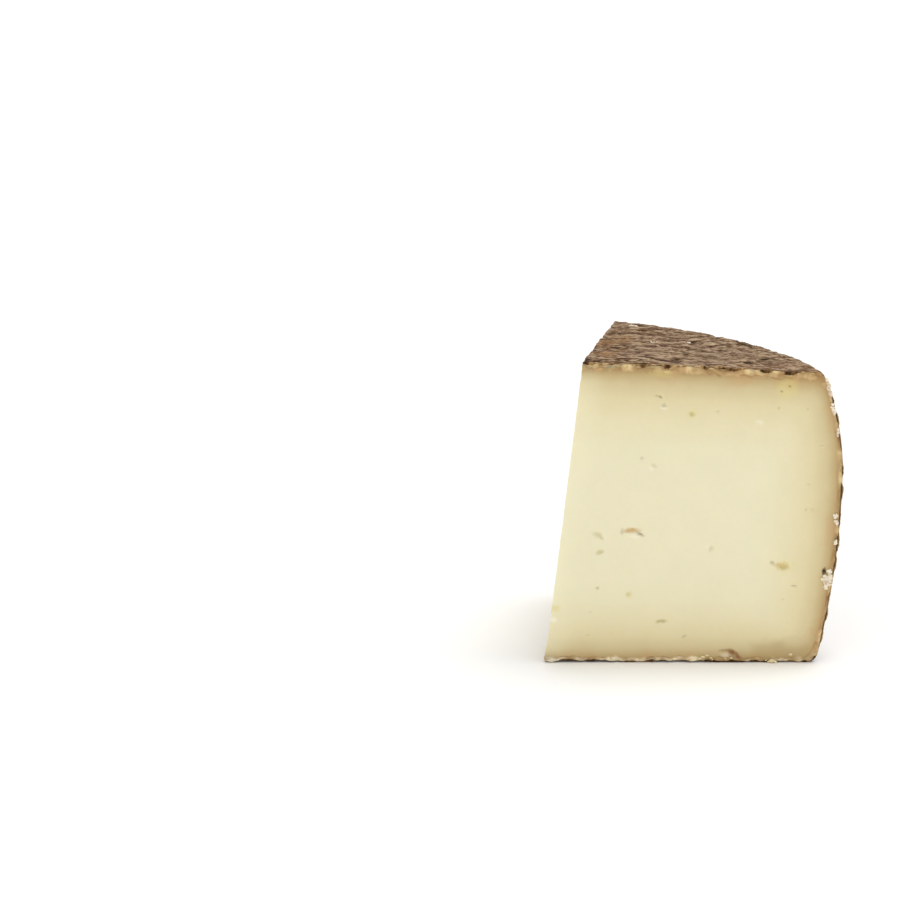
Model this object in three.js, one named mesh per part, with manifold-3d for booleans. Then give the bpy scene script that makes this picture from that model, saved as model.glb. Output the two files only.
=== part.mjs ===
// A loose wedge of aged mixed milk cheese, knifed from a tall wheel that was pressed in a plaited mould.
//
// Millimetres, +Z up. The wedge rests on its base, its front cut faces -Y and its rim faces +X and +Y.
// The wheel is turned as a lathe form, roughened, cut twice and then pitted. Until the last step, places
// are measured from the wheel's axis: x runs along the front cut, y away from it, z up from the base.

import * as THREE from "three";
import { ImprovedNoise } from "three/addons/math/ImprovedNoise.js";
import { mergeVertices } from "three/addons/utils/BufferGeometryUtils.js";
import Module from "manifold-3d";

// The whole wheel
const WHEEL_RADIUS = 98; // at the waist, the mean of its long and its short way across
const WHEEL_HEIGHT = 102.7; // at the middle of the domed top
const WAIST_HEIGHT = 67; // where the barrel side is widest
const DOME_DROP = 2.4; // the top falls this far from its middle to the rim
const SHOULDER_DRAW = 8.1; // the side leans in this far from the waist up to the full height
const FOOT_DRAW = 8; // and this far from the waist down to the base
const SHOULDER_ROUND = 2.4;
const FOOT_ROUND = 3.2;
const OVALITY = 0.075; // share of the radius by which the wheel is out of round
const SHORT_WAY_DEG = 40.6; // direction in which the wheel is narrowest
const TOP_SLOPE = 0.02; // the top sinks towards +X

// The two knife cuts
const FRONT_CUT_Y = 1.6;
const TIP_TOP_X = 9.9; // where the cuts meet, on the top
const TIP_BASE_X = -2.1; // and on the base, because the second cut leans
const BACK_CUT_DEG = 80.3; // angle of the second cut from the first, seen from above

// Rind relief
const RIDGE_LENGTH = 15; // fibrous ridges of the top, along X
const RIDGE_WIDTH = 5.2;
const RIDGE_DEPTH = 0.55;
const PLAIT_BAND = 12.5; // height of one plaited band round the rim
const PLAIT_PITCH = 8.5; // from one strand to the next
const PLAIT_SLANT = 0.75; // how far a strand runs sideways for its height
const PLAIT_DEPTH = 0.85;
const PLAIT_SEAM = 0.6; // share of a band over which its strands fade towards the next band
const RIND_UNEVEN = 0.6; // broad hollows and swellings
const RIND_UNEVEN_SPAN = 26;

// Openings in the front cut: place along x and z, width, height and depth
const FRONT_EYES = [
  { x: 26.9, z: 45.9, width: 5.2, height: 1.5, depth: 1.5, tilt: 4 },
  { x: 30.3, z: 44.5, width: 3.6, height: 1.3, depth: 1.3, tilt: -32 },
  { x: 15.4, z: 43.4, width: 2.9, height: 1.7, depth: 0.8, tilt: -15 },
  { x: 15.5, z: 38.1, width: 2.2, height: 1.8, depth: 0.9, tilt: 0 },
  { x: 36.1, z: 91.2, width: 2.6, height: 1, depth: 0.8, tilt: -20 },
  { x: 36.4, z: 88.2, width: 1.6, height: 1.3, depth: 0.8, tilt: 0 },
  { x: 45.6, z: 85.4, width: 2.4, height: 1.5, depth: 1, tilt: 25 },
  { x: 54.8, z: 86.2, width: 1.2, height: 1, depth: 0.7, tilt: 0 },
  { x: 33.2, z: 67.5, width: 2.3, height: 1.5, depth: 0.8, tilt: -20 },
  { x: 29.4, z: 70.6, width: 1.1, height: 1.1, depth: 0.7, tilt: 0 },
  { x: 53.3, z: 38.7, width: 2.2, height: 1.8, depth: 0.7, tilt: 30 },
  { x: 76.9, z: 33.4, width: 3.9, height: 2.5, depth: 1.5, tilt: -12 },
  { x: 73.9, z: 35, width: 2, height: 1.6, depth: 1, tilt: -25 },
  { x: 80.9, z: 26.8, width: 1.8, height: 0.7, depth: 0.7, tilt: 0 },
  { x: 85.6, z: 52.6, width: 2.6, height: 0.9, depth: 0.7, tilt: 0 },
  { x: 26, z: 23.8, width: 1.9, height: 1.5, depth: 0.8, tilt: 20 },
  { x: 15, z: 25.6, width: 1, height: 1, depth: 0.7, tilt: 0 },
  { x: 37, z: 14.2, width: 4, height: 1.2, depth: 1, tilt: 5 },
  { x: 45, z: 8.7, width: 1.7, height: 1, depth: 0.7, tilt: 15 },
];

// Openings in the back cut, where the draw is seeded
const BACK_EYES = 15;
const EYE_SIZE = { least: 1.2, most: 4.2 };
const EYE_FLATNESS = { least: 0.4, most: 0.8 }; // height for a width of one
const EYE_THICKNESS = 0.8; // front to back, for a width of one
const EYE_MARGIN = 9; // left clear of eyes along the cut's edges

// Crumbs torn out where a cut meets the rind: how many for 100 mm of edge, and their size
const CRUMBS_PER_100 = 19;
const CRUMB_LENGTH = { least: 1.6, most: 6.4 };
const CRUMB_BITE = { least: 0.7, most: 2 };
const CRUMB_SCATTER = 0.7; // share of its own stretch of edge in which a crumb can lie
const CORNER_MARGIN = 2.5; // left whole at the ends of an edge

// Hollows torn deeper into the front cut's edge: place, width, height and depth
const TORN_POCKETS = [
  { x: 61.4, z: 1.2, width: 6.4, height: 4.6, depth: 2 },
  { x: 33.9, z: 0.4, width: 3, height: 3.4, depth: 1.4 },
  { x: 91.6, z: 30.4, width: 4.4, height: 6.8, depth: 1.8 },
  { x: 93.6, z: 89, width: 2.6, height: 3.6, depth: 1.3 },
];

// Fineness of the faceted surface
const TURN_STEPS = 216;
const PROFILE_STEP = 3.3;
const CORNER_STEPS = 3;

const SEED = 41;

const { degToRad, lerp, seededRandom, smoothstep } = THREE.MathUtils;
const perlin = new ImprovedNoise();

// Wheel profile

// Radius of the barrel side at a height: a parabola above the waist and another below it.
function sideRadius(z) {
  const above = z > WAIST_HEIGHT;
  const span = above ? WHEEL_HEIGHT - WAIST_HEIGHT : WAIST_HEIGHT;
  const away = (z - WAIST_HEIGHT) / span;
  return WHEEL_RADIUS - (above ? SHOULDER_DRAW : FOOT_DRAW) * away * away;
}

// Height of the domed top at a radius.
function topHeight(r) {
  return WHEEL_HEIGHT - DOME_DROP * (r / WHEEL_RADIUS) ** 2;
}

// Corner where the side would meet the top if it were sharp.
function shoulderCorner() {
  let z = WHEEL_HEIGHT;
  for (let pass = 0; pass < 6; pass++) z = topHeight(sideRadius(z));
  return new THREE.Vector2(sideRadius(z), z);
}

// Half section of the wheel from the middle of its base, round the rim, to the middle of its top.
function wheelProfile() {
  const corner = shoulderCorner();
  const footRadius = sideRadius(0);
  const sideBottom = new THREE.Vector2(sideRadius(FOOT_ROUND), FOOT_ROUND);
  const sideTopZ = corner.y - SHOULDER_ROUND;
  const topRadius = corner.x - SHOULDER_ROUND;
  const foot = new THREE.QuadraticBezierCurve(
    new THREE.Vector2(footRadius - FOOT_ROUND, 0),
    new THREE.Vector2(footRadius, 0),
    sideBottom,
  );
  const shoulder = new THREE.QuadraticBezierCurve(
    new THREE.Vector2(sideRadius(sideTopZ), sideTopZ),
    corner,
    new THREE.Vector2(topRadius, topHeight(topRadius)),
  );
  const points = [new THREE.Vector2(0, 0), ...foot.getPoints(CORNER_STEPS)];
  const sideSteps = Math.round((sideTopZ - FOOT_ROUND) / PROFILE_STEP);
  for (let i = 1; i < sideSteps; i++) {
    const z = lerp(FOOT_ROUND, sideTopZ, i / sideSteps);
    points.push(new THREE.Vector2(sideRadius(z), z));
  }
  points.push(...shoulder.getPoints(CORNER_STEPS));
  const topSteps = Math.round(topRadius / PROFILE_STEP);
  for (let i = 1; i < topSteps; i++) {
    const r = topRadius * (1 - i / topSteps);
    points.push(new THREE.Vector2(r, topHeight(r)));
  }
  points.push(new THREE.Vector2(0, WHEEL_HEIGHT));
  return points;
}

// Rind relief

// Fibrous ridges that lie along X on the top, with sharp crests and rounder furrows between them.
function topRelief(x, y) {
  const ridge = perlin.noise(x / RIDGE_LENGTH, y / RIDGE_WIDTH, SEED);
  return RIDGE_DEPTH * (0.6 - 3 * Math.abs(ridge));
}

// Plaited bands round the rim: strands that slant one way in one band and back in the next.
function rimRelief(along, z) {
  const band = z / PLAIT_BAND;
  const zigzag = 2 * Math.abs(band / 2 - Math.round(band / 2)) * PLAIT_BAND;
  const strand = (2 * Math.PI * (along + PLAIT_SLANT * zigzag)) / PLAIT_PITCH;
  const seam = Math.abs(Math.sin(Math.PI * band));
  return PLAIT_DEPTH * (0.5 * Math.cos(strand) * smoothstep(seam, 0, PLAIT_SEAM) - 0.1);
}

// How far the rind stands in or out of the true wheel at a point whose outward normal is given. The base
// stays true, and across the shoulder the plait passes into the ridges as the normal turns up.
function rindRelief(point, normal) {
  const isBase = normal.z < -0.5;
  if (isBase) return 0;
  const along = Math.atan2(point.y, point.x) * WHEEL_RADIUS;
  const crown = smoothstep(normal.z, 0.3, 0.8);
  const span = RIND_UNEVEN_SPAN;
  const broad = perlin.noise(point.x / span, point.y / span, point.z / span);
  return (
    lerp(rimRelief(along, point.z), topRelief(point.x, point.y), crown) +
    RIND_UNEVEN * broad * smoothstep(point.z, 0, span)
  );
}

// Share of the mean radius that the wheel has in a direction.
function ovalShare(angle) {
  return 1 - OVALITY * Math.cos(2 * (angle - degToRad(SHORT_WAY_DEG)));
}

// Turns the true wheel into the uneven one: relief first, then the oval and the sloping top.
function roughenWheel(geometry) {
  const position = geometry.getAttribute("position");
  const normals = geometry.getAttribute("normal");
  const point = new THREE.Vector3();
  const normal = new THREE.Vector3();
  for (let i = 0; i < position.count; i++) {
    point.fromBufferAttribute(position, i);
    normal.fromBufferAttribute(normals, i);
    const relief = rindRelief(point, normal);
    if (relief !== 0) point.addScaledVector(normal, relief);
    const share = ovalShare(Math.atan2(point.y, point.x));
    point.x *= share;
    point.y *= share;
    point.z *= 1 - (TOP_SLOPE * (point.x - TIP_TOP_X)) / WHEEL_HEIGHT;
    position.setXYZ(i, point.x, point.y, Math.max(point.z, 0));
  }
}

// Solids

const wasm = await Module();
wasm.setup();

// The same surface with its shared vertices merged and only positions left.
function welded(geometry) {
  geometry.deleteAttribute("normal");
  geometry.deleteAttribute("uv");
  return mergeVertices(geometry);
}

function solidOf(geometry) {
  const closed = welded(geometry);
  const mesh = new wasm.Mesh({
    numProp: 3,
    vertProperties: closed.getAttribute("position").array,
    triVerts: new Uint32Array(closed.index.array),
  });
  return new wasm.Manifold(mesh);
}

function geometryOf(solid) {
  const mesh = solid.getMesh();
  const geometry = new THREE.BufferGeometry();
  geometry.setAttribute("position", new THREE.BufferAttribute(mesh.vertProperties, 3));
  geometry.setIndex(new THREE.BufferAttribute(mesh.triVerts, 1));
  return geometry;
}

function wheelSolid() {
  const turned = new THREE.LatheGeometry(wheelProfile(), TURN_STEPS);
  turned.rotateX(Math.PI / 2);
  const wheel = welded(turned);
  wheel.computeVertexNormals();
  roughenWheel(wheel);
  return solidOf(wheel);
}

// The space between the two knife cuts: a three-sided prism, leaning with the second cut.
function knifeSpace() {
  const reach = 2 * WHEEL_RADIUS;
  const margin = 10;
  const back = degToRad(BACK_CUT_DEG);
  const outline = new THREE.Shape([
    new THREE.Vector2(TIP_BASE_X, FRONT_CUT_Y),
    new THREE.Vector2(TIP_BASE_X + reach, FRONT_CUT_Y),
    new THREE.Vector2(TIP_BASE_X + reach, FRONT_CUT_Y + reach),
    new THREE.Vector2(TIP_BASE_X + reach / Math.tan(back), FRONT_CUT_Y + reach),
  ]);
  const prism = new THREE.ExtrudeGeometry(outline, {
    depth: WHEEL_HEIGHT + 2 * margin,
    bevelEnabled: false,
  });
  prism.translate(0, 0, -margin);
  const lean = new THREE.Matrix4();
  lean.elements[8] = (TIP_TOP_X - TIP_BASE_X) / WHEEL_HEIGHT;
  prism.applyMatrix4(lean);
  return solidOf(prism);
}

// A lumpy pebble as the tool of one eye or crumb. Its size is full width, and turn is in radians.
function pebble(centre, size, turn, detail) {
  const ball = new THREE.IcosahedronGeometry(0.5, detail);
  const matrix = new THREE.Matrix4().compose(
    centre,
    new THREE.Quaternion().setFromEuler(turn),
    size,
  );
  return solidOf(ball.applyMatrix4(matrix));
}

// Point on the back cut at a distance from the tip, at a height.
function onBackCut(distance, z) {
  const back = degToRad(BACK_CUT_DEG);
  const tipX = lerp(TIP_BASE_X, TIP_TOP_X, z / WHEEL_HEIGHT);
  return new THREE.Vector3(
    tipX + distance * Math.cos(back),
    FRONT_CUT_Y + distance * Math.sin(back),
    z,
  );
}

function between(range) {
  return lerp(range.least, range.most, seededRandom());
}

// Eyes are full pebbles half sunk in the cut, so that their depth is half of the pebble's.
function frontEyes() {
  return FRONT_EYES.map((eye) =>
    pebble(
      new THREE.Vector3(eye.x, FRONT_CUT_Y, eye.z),
      new THREE.Vector3(eye.width, 2 * eye.depth, eye.height),
      new THREE.Euler(0, degToRad(-eye.tilt), 0),
      1,
    ),
  );
}

function backEyes() {
  const eyes = [];
  for (let i = 0; i < BACK_EYES; i++) {
    const z = lerp(EYE_MARGIN, WHEEL_HEIGHT - EYE_MARGIN, seededRandom());
    const reach = sideRadius(0) - EYE_MARGIN;
    const centre = onBackCut(lerp(EYE_MARGIN, reach, seededRandom()), z);
    const width = between(EYE_SIZE);
    const size = new THREE.Vector3(EYE_THICKNESS * width, width, between(EYE_FLATNESS) * width);
    const turn = new THREE.Euler(seededRandom() - 0.5, 0, degToRad(BACK_CUT_DEG - 90));
    eyes.push(pebble(centre, size, turn, 1));
  }
  return eyes;
}

// Crumbs torn out along a straight edge from one point to the other.
function crumbsAlong(from, to) {
  const count = Math.round((from.distanceTo(to) * CRUMBS_PER_100) / 100);
  const heading = new THREE.Vector3().subVectors(to, from);
  const yaw = Math.atan2(heading.y, heading.x);
  const pitch = Math.atan2(heading.z, Math.hypot(heading.x, heading.y));
  const crumbs = [];
  for (let i = 0; i < count; i++) {
    const share = (i + 0.5 + CRUMB_SCATTER * (seededRandom() - 0.5)) / count;
    const centre = new THREE.Vector3().lerpVectors(from, to, share);
    const size = new THREE.Vector3(between(CRUMB_LENGTH), between(CRUMB_BITE), between(CRUMB_BITE));
    const turn = new THREE.Euler(Math.PI * seededRandom(), -pitch, yaw, "ZYX");
    crumbs.push(pebble(centre, size, turn, 0));
  }
  return crumbs;
}

// Edges where the cuts meet the rind, each with its two ends.
function crumblyEdges() {
  const share = ovalShare(0);
  const shoulder = shoulderCorner();
  const topX = share * shoulder.x - CORNER_MARGIN;
  const topZ = shoulder.y - TOP_SLOPE * topX;
  const waistX = share * WHEEL_RADIUS;
  const footX = share * sideRadius(0) - CORNER_MARGIN;
  const backReach = shoulder.x - CORNER_MARGIN;
  const onFront = (x, z) => new THREE.Vector3(x, FRONT_CUT_Y, z);
  return [
    [onFront(TIP_TOP_X, WHEEL_HEIGHT), onFront(topX, topZ)],
    [onFront(TIP_BASE_X + CORNER_MARGIN, 0), onFront(footX, 0)],
    [onFront(topX + CORNER_MARGIN, topZ - CORNER_MARGIN), onFront(waistX, WAIST_HEIGHT)],
    [onFront(waistX, WAIST_HEIGHT), onFront(footX + CORNER_MARGIN, CORNER_MARGIN)],
    [onBackCut(CORNER_MARGIN, WHEEL_HEIGHT), onBackCut(backReach, topZ + 1)],
    [onBackCut(CORNER_MARGIN, 0), onBackCut(sideRadius(0) - CORNER_MARGIN, 0)],
  ];
}

function tornPockets() {
  return TORN_POCKETS.map((pocket) =>
    pebble(
      new THREE.Vector3(pocket.x, FRONT_CUT_Y, pocket.z),
      new THREE.Vector3(pocket.width, 2 * pocket.depth, pocket.height),
      new THREE.Euler(0, 0, 0),
      1,
    ),
  );
}

// The wedge

function wedgeSolid() {
  seededRandom(SEED);
  const tools = [
    ...frontEyes(),
    ...backEyes(),
    ...crumblyEdges().flatMap(([from, to]) => crumbsAlong(from, to)),
    ...tornPockets(),
  ];
  const cut = wheelSolid().intersect(knifeSpace());
  return tools.reduce((solid, tool) => solid.subtract(tool), cut);
}

// Puts the origin under the middle of the wedge, at the level that it rests on.
function stoodOnOrigin(geometry) {
  geometry.computeBoundingBox();
  const centre = geometry.boundingBox.getCenter(new THREE.Vector3());
  return geometry.translate(-centre.x, -centre.y, -geometry.boundingBox.min.z);
}

const paste = new THREE.MeshStandardMaterial({ color: 0xe9e1c0, roughness: 0.55, metalness: 0 });
const wedge = new THREE.Mesh(stoodOnOrigin(geometryOf(wedgeSolid())), paste);
wedge.name = "cheese_wedge";

const cheese = new THREE.Group();
cheese.add(wedge);

export default cheese;
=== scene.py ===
"""Looks of a loose wedge of aged mixed milk cheese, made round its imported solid.

All shapes are worked out in millimetres from the axis of the wheel that the wedge was cut from: x runs
along the front cut, y away from it and z up from the base. Row turns them into metres in the solid's frame.
"""

from __future__ import annotations

import logging
import math
from dataclasses import dataclass, field
from enum import Enum, IntEnum

import bmesh
import bpy
import numpy as np
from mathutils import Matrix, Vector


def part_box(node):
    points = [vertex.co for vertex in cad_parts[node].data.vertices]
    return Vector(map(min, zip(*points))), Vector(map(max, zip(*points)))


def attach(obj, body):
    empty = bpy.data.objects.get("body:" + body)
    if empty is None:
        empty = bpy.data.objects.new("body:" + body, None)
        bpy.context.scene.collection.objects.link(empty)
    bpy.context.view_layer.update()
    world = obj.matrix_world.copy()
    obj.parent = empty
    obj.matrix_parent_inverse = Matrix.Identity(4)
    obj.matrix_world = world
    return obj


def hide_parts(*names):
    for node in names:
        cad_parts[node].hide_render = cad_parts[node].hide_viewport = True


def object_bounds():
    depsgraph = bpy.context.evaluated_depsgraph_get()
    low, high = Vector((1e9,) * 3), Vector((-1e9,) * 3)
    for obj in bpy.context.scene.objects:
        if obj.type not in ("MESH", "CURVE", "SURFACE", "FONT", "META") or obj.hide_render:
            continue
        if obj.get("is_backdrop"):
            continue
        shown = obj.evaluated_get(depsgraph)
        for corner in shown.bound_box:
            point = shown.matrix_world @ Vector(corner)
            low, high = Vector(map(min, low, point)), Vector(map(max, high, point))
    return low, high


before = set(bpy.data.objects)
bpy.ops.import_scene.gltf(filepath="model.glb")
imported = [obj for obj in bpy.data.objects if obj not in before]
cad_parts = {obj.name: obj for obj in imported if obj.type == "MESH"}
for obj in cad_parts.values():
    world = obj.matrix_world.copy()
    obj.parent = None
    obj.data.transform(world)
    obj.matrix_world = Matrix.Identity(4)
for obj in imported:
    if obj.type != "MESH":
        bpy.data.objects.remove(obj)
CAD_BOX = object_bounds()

# A band is a pair of numbers, most often where a rise starts and where it ends. Spans hold the spans of a
# noise along x and y and its shift, and each of the layers holds an amount, a span and a shift.
Array = np.ndarray
Band = tuple[float, float]
Display = tuple[int, int, int]
Layers = tuple[tuple[float, float, float], ...]
Socket = bpy.types.NodeSocket
Spans = tuple[float, float, float]

LOG = logging.getLogger("cheese")
NODE = "cheese_wedge"
BODY = "root"
MM = 0.001
SHARP_ANGLE = math.radians(72.0)


# Arithmetic on arrays


def smoothstep(low: float, high: float, x: Array) -> Array:
    """Rises from 0 at low to 1 at high as 3t^2 - 2t^3, and falls where high is less than low."""
    t = np.clip((x - low) / (high - low), 0.0, 1.0)
    return t * t * (3.0 - 2.0 * t)


def crowded(count: int, crowding: float) -> Array:
    """Shares from 0 to 1 that lie closer at both ends: t - c sin(2 pi t) / (2 pi)."""
    t = np.linspace(0.0, 1.0, count)
    return t - crowding * np.sin(2.0 * np.pi * t) / (2.0 * np.pi)


def unit(vectors: Array) -> Array:
    """Vectors of length one along the last axis."""
    length = np.linalg.norm(vectors, axis=-1, keepdims=True)
    return vectors / np.maximum(length, 1e-12)


def mix(a: Array, b: Array, share: Array) -> Array:
    """Passes from a to b as the share goes from 0 to 1."""
    return a + (b - a) * share


def bell(x: Array) -> Array:
    """Bell curve exp(-x^2)."""
    return np.exp(-(x**2))


def bowl(reach: Array) -> Array:
    """Depth of a round bowl, sqrt(1 - r^2) within a reach r of 1 and 0 outside."""
    return np.sqrt(np.clip(1.0 - reach**2, 0.0, 1.0))


def crests(noise: Array) -> Array:
    """Sharp crests of height 1 where the noise passes through 0, and troughs down to about -1."""
    return 1.0 - 3.2 * np.abs(noise)


def bent(start: Array, middle: Array, end: Array, steps: int = 9) -> Array:
    """Points of the quadratic curve (1-t)^2 start + 2t(1-t) middle + t^2 end."""
    t = np.linspace(0.0, 1.0, steps)[:, None]
    return (1 - t) ** 2 * start + 2 * t * (1 - t) * middle + t**2 * end


class Noise:
    """Seeded gradient noise on a unit lattice, from about -1 to 1.

    One seed serves many uses. The third coordinate, or the shift, sets each use apart from the others.
    """

    cells: int = 256
    gain: float = 1.6
    octave_shift: float = 17.0

    def __init__(self, seed: int) -> None:
        """Draws the lattice.

        Args:
            seed: Fixes the order and the gradients.
        """
        draw = np.random.default_rng(seed)
        self.order = np.tile(draw.permutation(self.cells), 3)
        self.gradients = unit(draw.normal(size=(self.cells, 3)))

    def __call__(self, x: Array, y: Array, z: Array | float = 0.0) -> Array:
        """Blends, by quintic fades, the dot products of each corner's gradient and the offset from it.

        Args:
            x: First coordinate, in lattice steps.
            y: Second coordinate.
            z: Third coordinate.

        Returns:
            The noise at each point.
        """
        point = np.stack(np.broadcast_arrays(x, y, z), axis=-1).astype(float)
        cell = np.floor(point).astype(int)
        offset = point - cell
        fade = offset**3 * (offset * (offset * 6.0 - 15.0) + 10.0)
        total = np.zeros(point.shape[:-1])
        for corner in np.ndindex(2, 2, 2):
            at = (cell + corner) & (self.cells - 1)
            hashed = self.order[self.order[self.order[at[..., 0]] + at[..., 1]] + at[..., 2]]
            dot = np.sum(self.gradients[hashed] * (offset - corner), axis=-1)
            total += dot * np.prod(np.where(corner, fade, 1.0 - fade), axis=-1)
        return self.gain * total

    def layered(self, x: Array, y: Array, z: Array | float = 0.0, octaves: int = 3) -> Array:
        """Sum of octaves, each twice as fine and half as strong as the one before."""
        total = np.zeros(np.broadcast(x, y, z).shape)
        for octave in range(octaves):
            fine = 2.0**octave
            total += self(x * fine, y * fine, z * fine + self.octave_shift * octave) / fine
        return total

    def at(self, points: Array, span: float, shift: float = 0.0) -> Array:
        """Noise at points in millimetres, for swellings of a given span."""
        return self(points[..., 0] / span, points[..., 1] / span, points[..., 2] / span + shift)

    def blend(self, points: Array, layers: Layers) -> Array:
        """Sum of noises at points, each given by its amount, span and shift."""
        return sum(amount * self.at(points, span, shift) for amount, span, shift in layers)

    def over(self, x: Array, y: Array, spans: Spans) -> Array:
        """Noise with one span along x, another along y, and a shift."""
        return self(x / spans[0], y / spans[1], spans[2])

    def layered_over(self, x: Array, y: Array, spans: Spans) -> Array:
        """The same, in octaves."""
        return self.layered(x / spans[0], y / spans[1], spans[2])


class Seed(IntEnum):
    """Seeds of the noises, by what they shape."""

    WEAR = 3
    CRUMBLE = 7
    PASTE = 11
    RIND = 23
    MOULD = 29
    CRUMBS = 31


class Draw:
    """Seeded draws from 0 to 1: the generator that also places the pits of the solid's back cut."""

    word: int = 0xFFFFFFFF
    step: int = 0x6D2B79F5

    def __init__(self, seed: int) -> None:
        """Starts the row of draws.

        Args:
            seed: First state.
        """
        self.state = seed

    def __call__(self) -> float:
        """The next draw."""
        word = self.word
        self.state = (self.state + self.step) & word
        t = self.state
        t = ((t ^ (t >> 15)) * (t | 1)) & word
        t ^= (t + (((t ^ (t >> 7)) * (t | 61)) & word)) & word
        return ((t ^ (t >> 14)) & word) / (word + 1)

    def between(self, low: float, high: float) -> float:
        """A draw from low to high."""
        return low + (high - low) * self()


# Form of the wheel and of its two cuts


@dataclass(frozen=True)
class Wheel:
    """The pressed wheel before it was cut."""

    radius: float = 98.0
    height: float = 102.7
    waist: float = 67.0
    dome_drop: float = 2.4
    shoulder_draw: float = 8.1
    foot_draw: float = 8.0
    shoulder_round: float = 2.4
    foot_round: float = 3.2
    ovality: float = 0.075
    short_way: float = math.radians(40.6)
    top_slope: float = 0.02
    slope_start: float = 9.9
    top_steps: int = 60
    side_steps: int = 80
    passes: int = 6

    def side_radius(self, z: Array) -> Array:
        """Radius of the barrel side: one parabola in z above the waist and another below it."""
        above = (z - self.waist) / (self.height - self.waist)
        below = (self.waist - z) / self.waist
        draw = np.where(z > self.waist, self.shoulder_draw * above**2, self.foot_draw * below**2)
        return self.radius - draw

    def top_height(self, r: Array) -> Array:
        """Height of the domed top, which falls with the square of the radius."""
        return self.height - self.dome_drop * (r / self.radius) ** 2

    def share(self, angle: Array) -> Array:
        """Share of the mean radius in a direction: 1 - e cos(2 (angle - short way))."""
        return 1.0 - self.ovality * np.cos(2.0 * (angle - self.short_way))

    def mean_radius(self, x: Array, y: Array) -> Array:
        """Radius that a place would have if the wheel were round."""
        return np.hypot(x, y) / self.share(np.arctan2(y, x))

    def sharp_corner(self) -> tuple[float, float]:
        """Radius and height at which the side would meet the top if their corner were sharp."""
        z = self.height
        for _ in range(self.passes):
            z = float(self.top_height(self.side_radius(z)))
        return float(self.side_radius(z)), z

    def outline(self) -> tuple[Array, Array, Array]:
        """Half section of the wheel, as three stretches that meet in the middles of its two corners.

        Each corner is a quadratic curve whose middle control point is the sharp corner.

        Returns:
            Rows of radius and height of the top, the side and the base.
        """
        corner_r, corner_z = self.sharp_corner()
        foot_r = float(self.side_radius(0.0))
        top_r = np.linspace(0.0, corner_r - self.shoulder_round, self.top_steps)
        side_z = np.linspace(corner_z - self.shoulder_round, self.foot_round, self.side_steps)
        top = np.stack([top_r, self.top_height(top_r)], axis=1)
        side = np.stack([self.side_radius(side_z), side_z], axis=1)
        base = np.array([[foot_r - self.foot_round, 0.0], [0.0, 0.0]])
        shoulder = bent(top[-1], np.array([corner_r, corner_z]), side[0])
        foot = bent(side[-1], np.array([foot_r, 0.0]), base[0])
        half = len(shoulder) // 2
        return (
            np.concatenate([top[:-1], shoulder[: half + 1]]),
            np.concatenate([shoulder[half:], side[1:-1], foot[: half + 1]]),
            np.concatenate([foot[half:], base[1:]]),
        )


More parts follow.
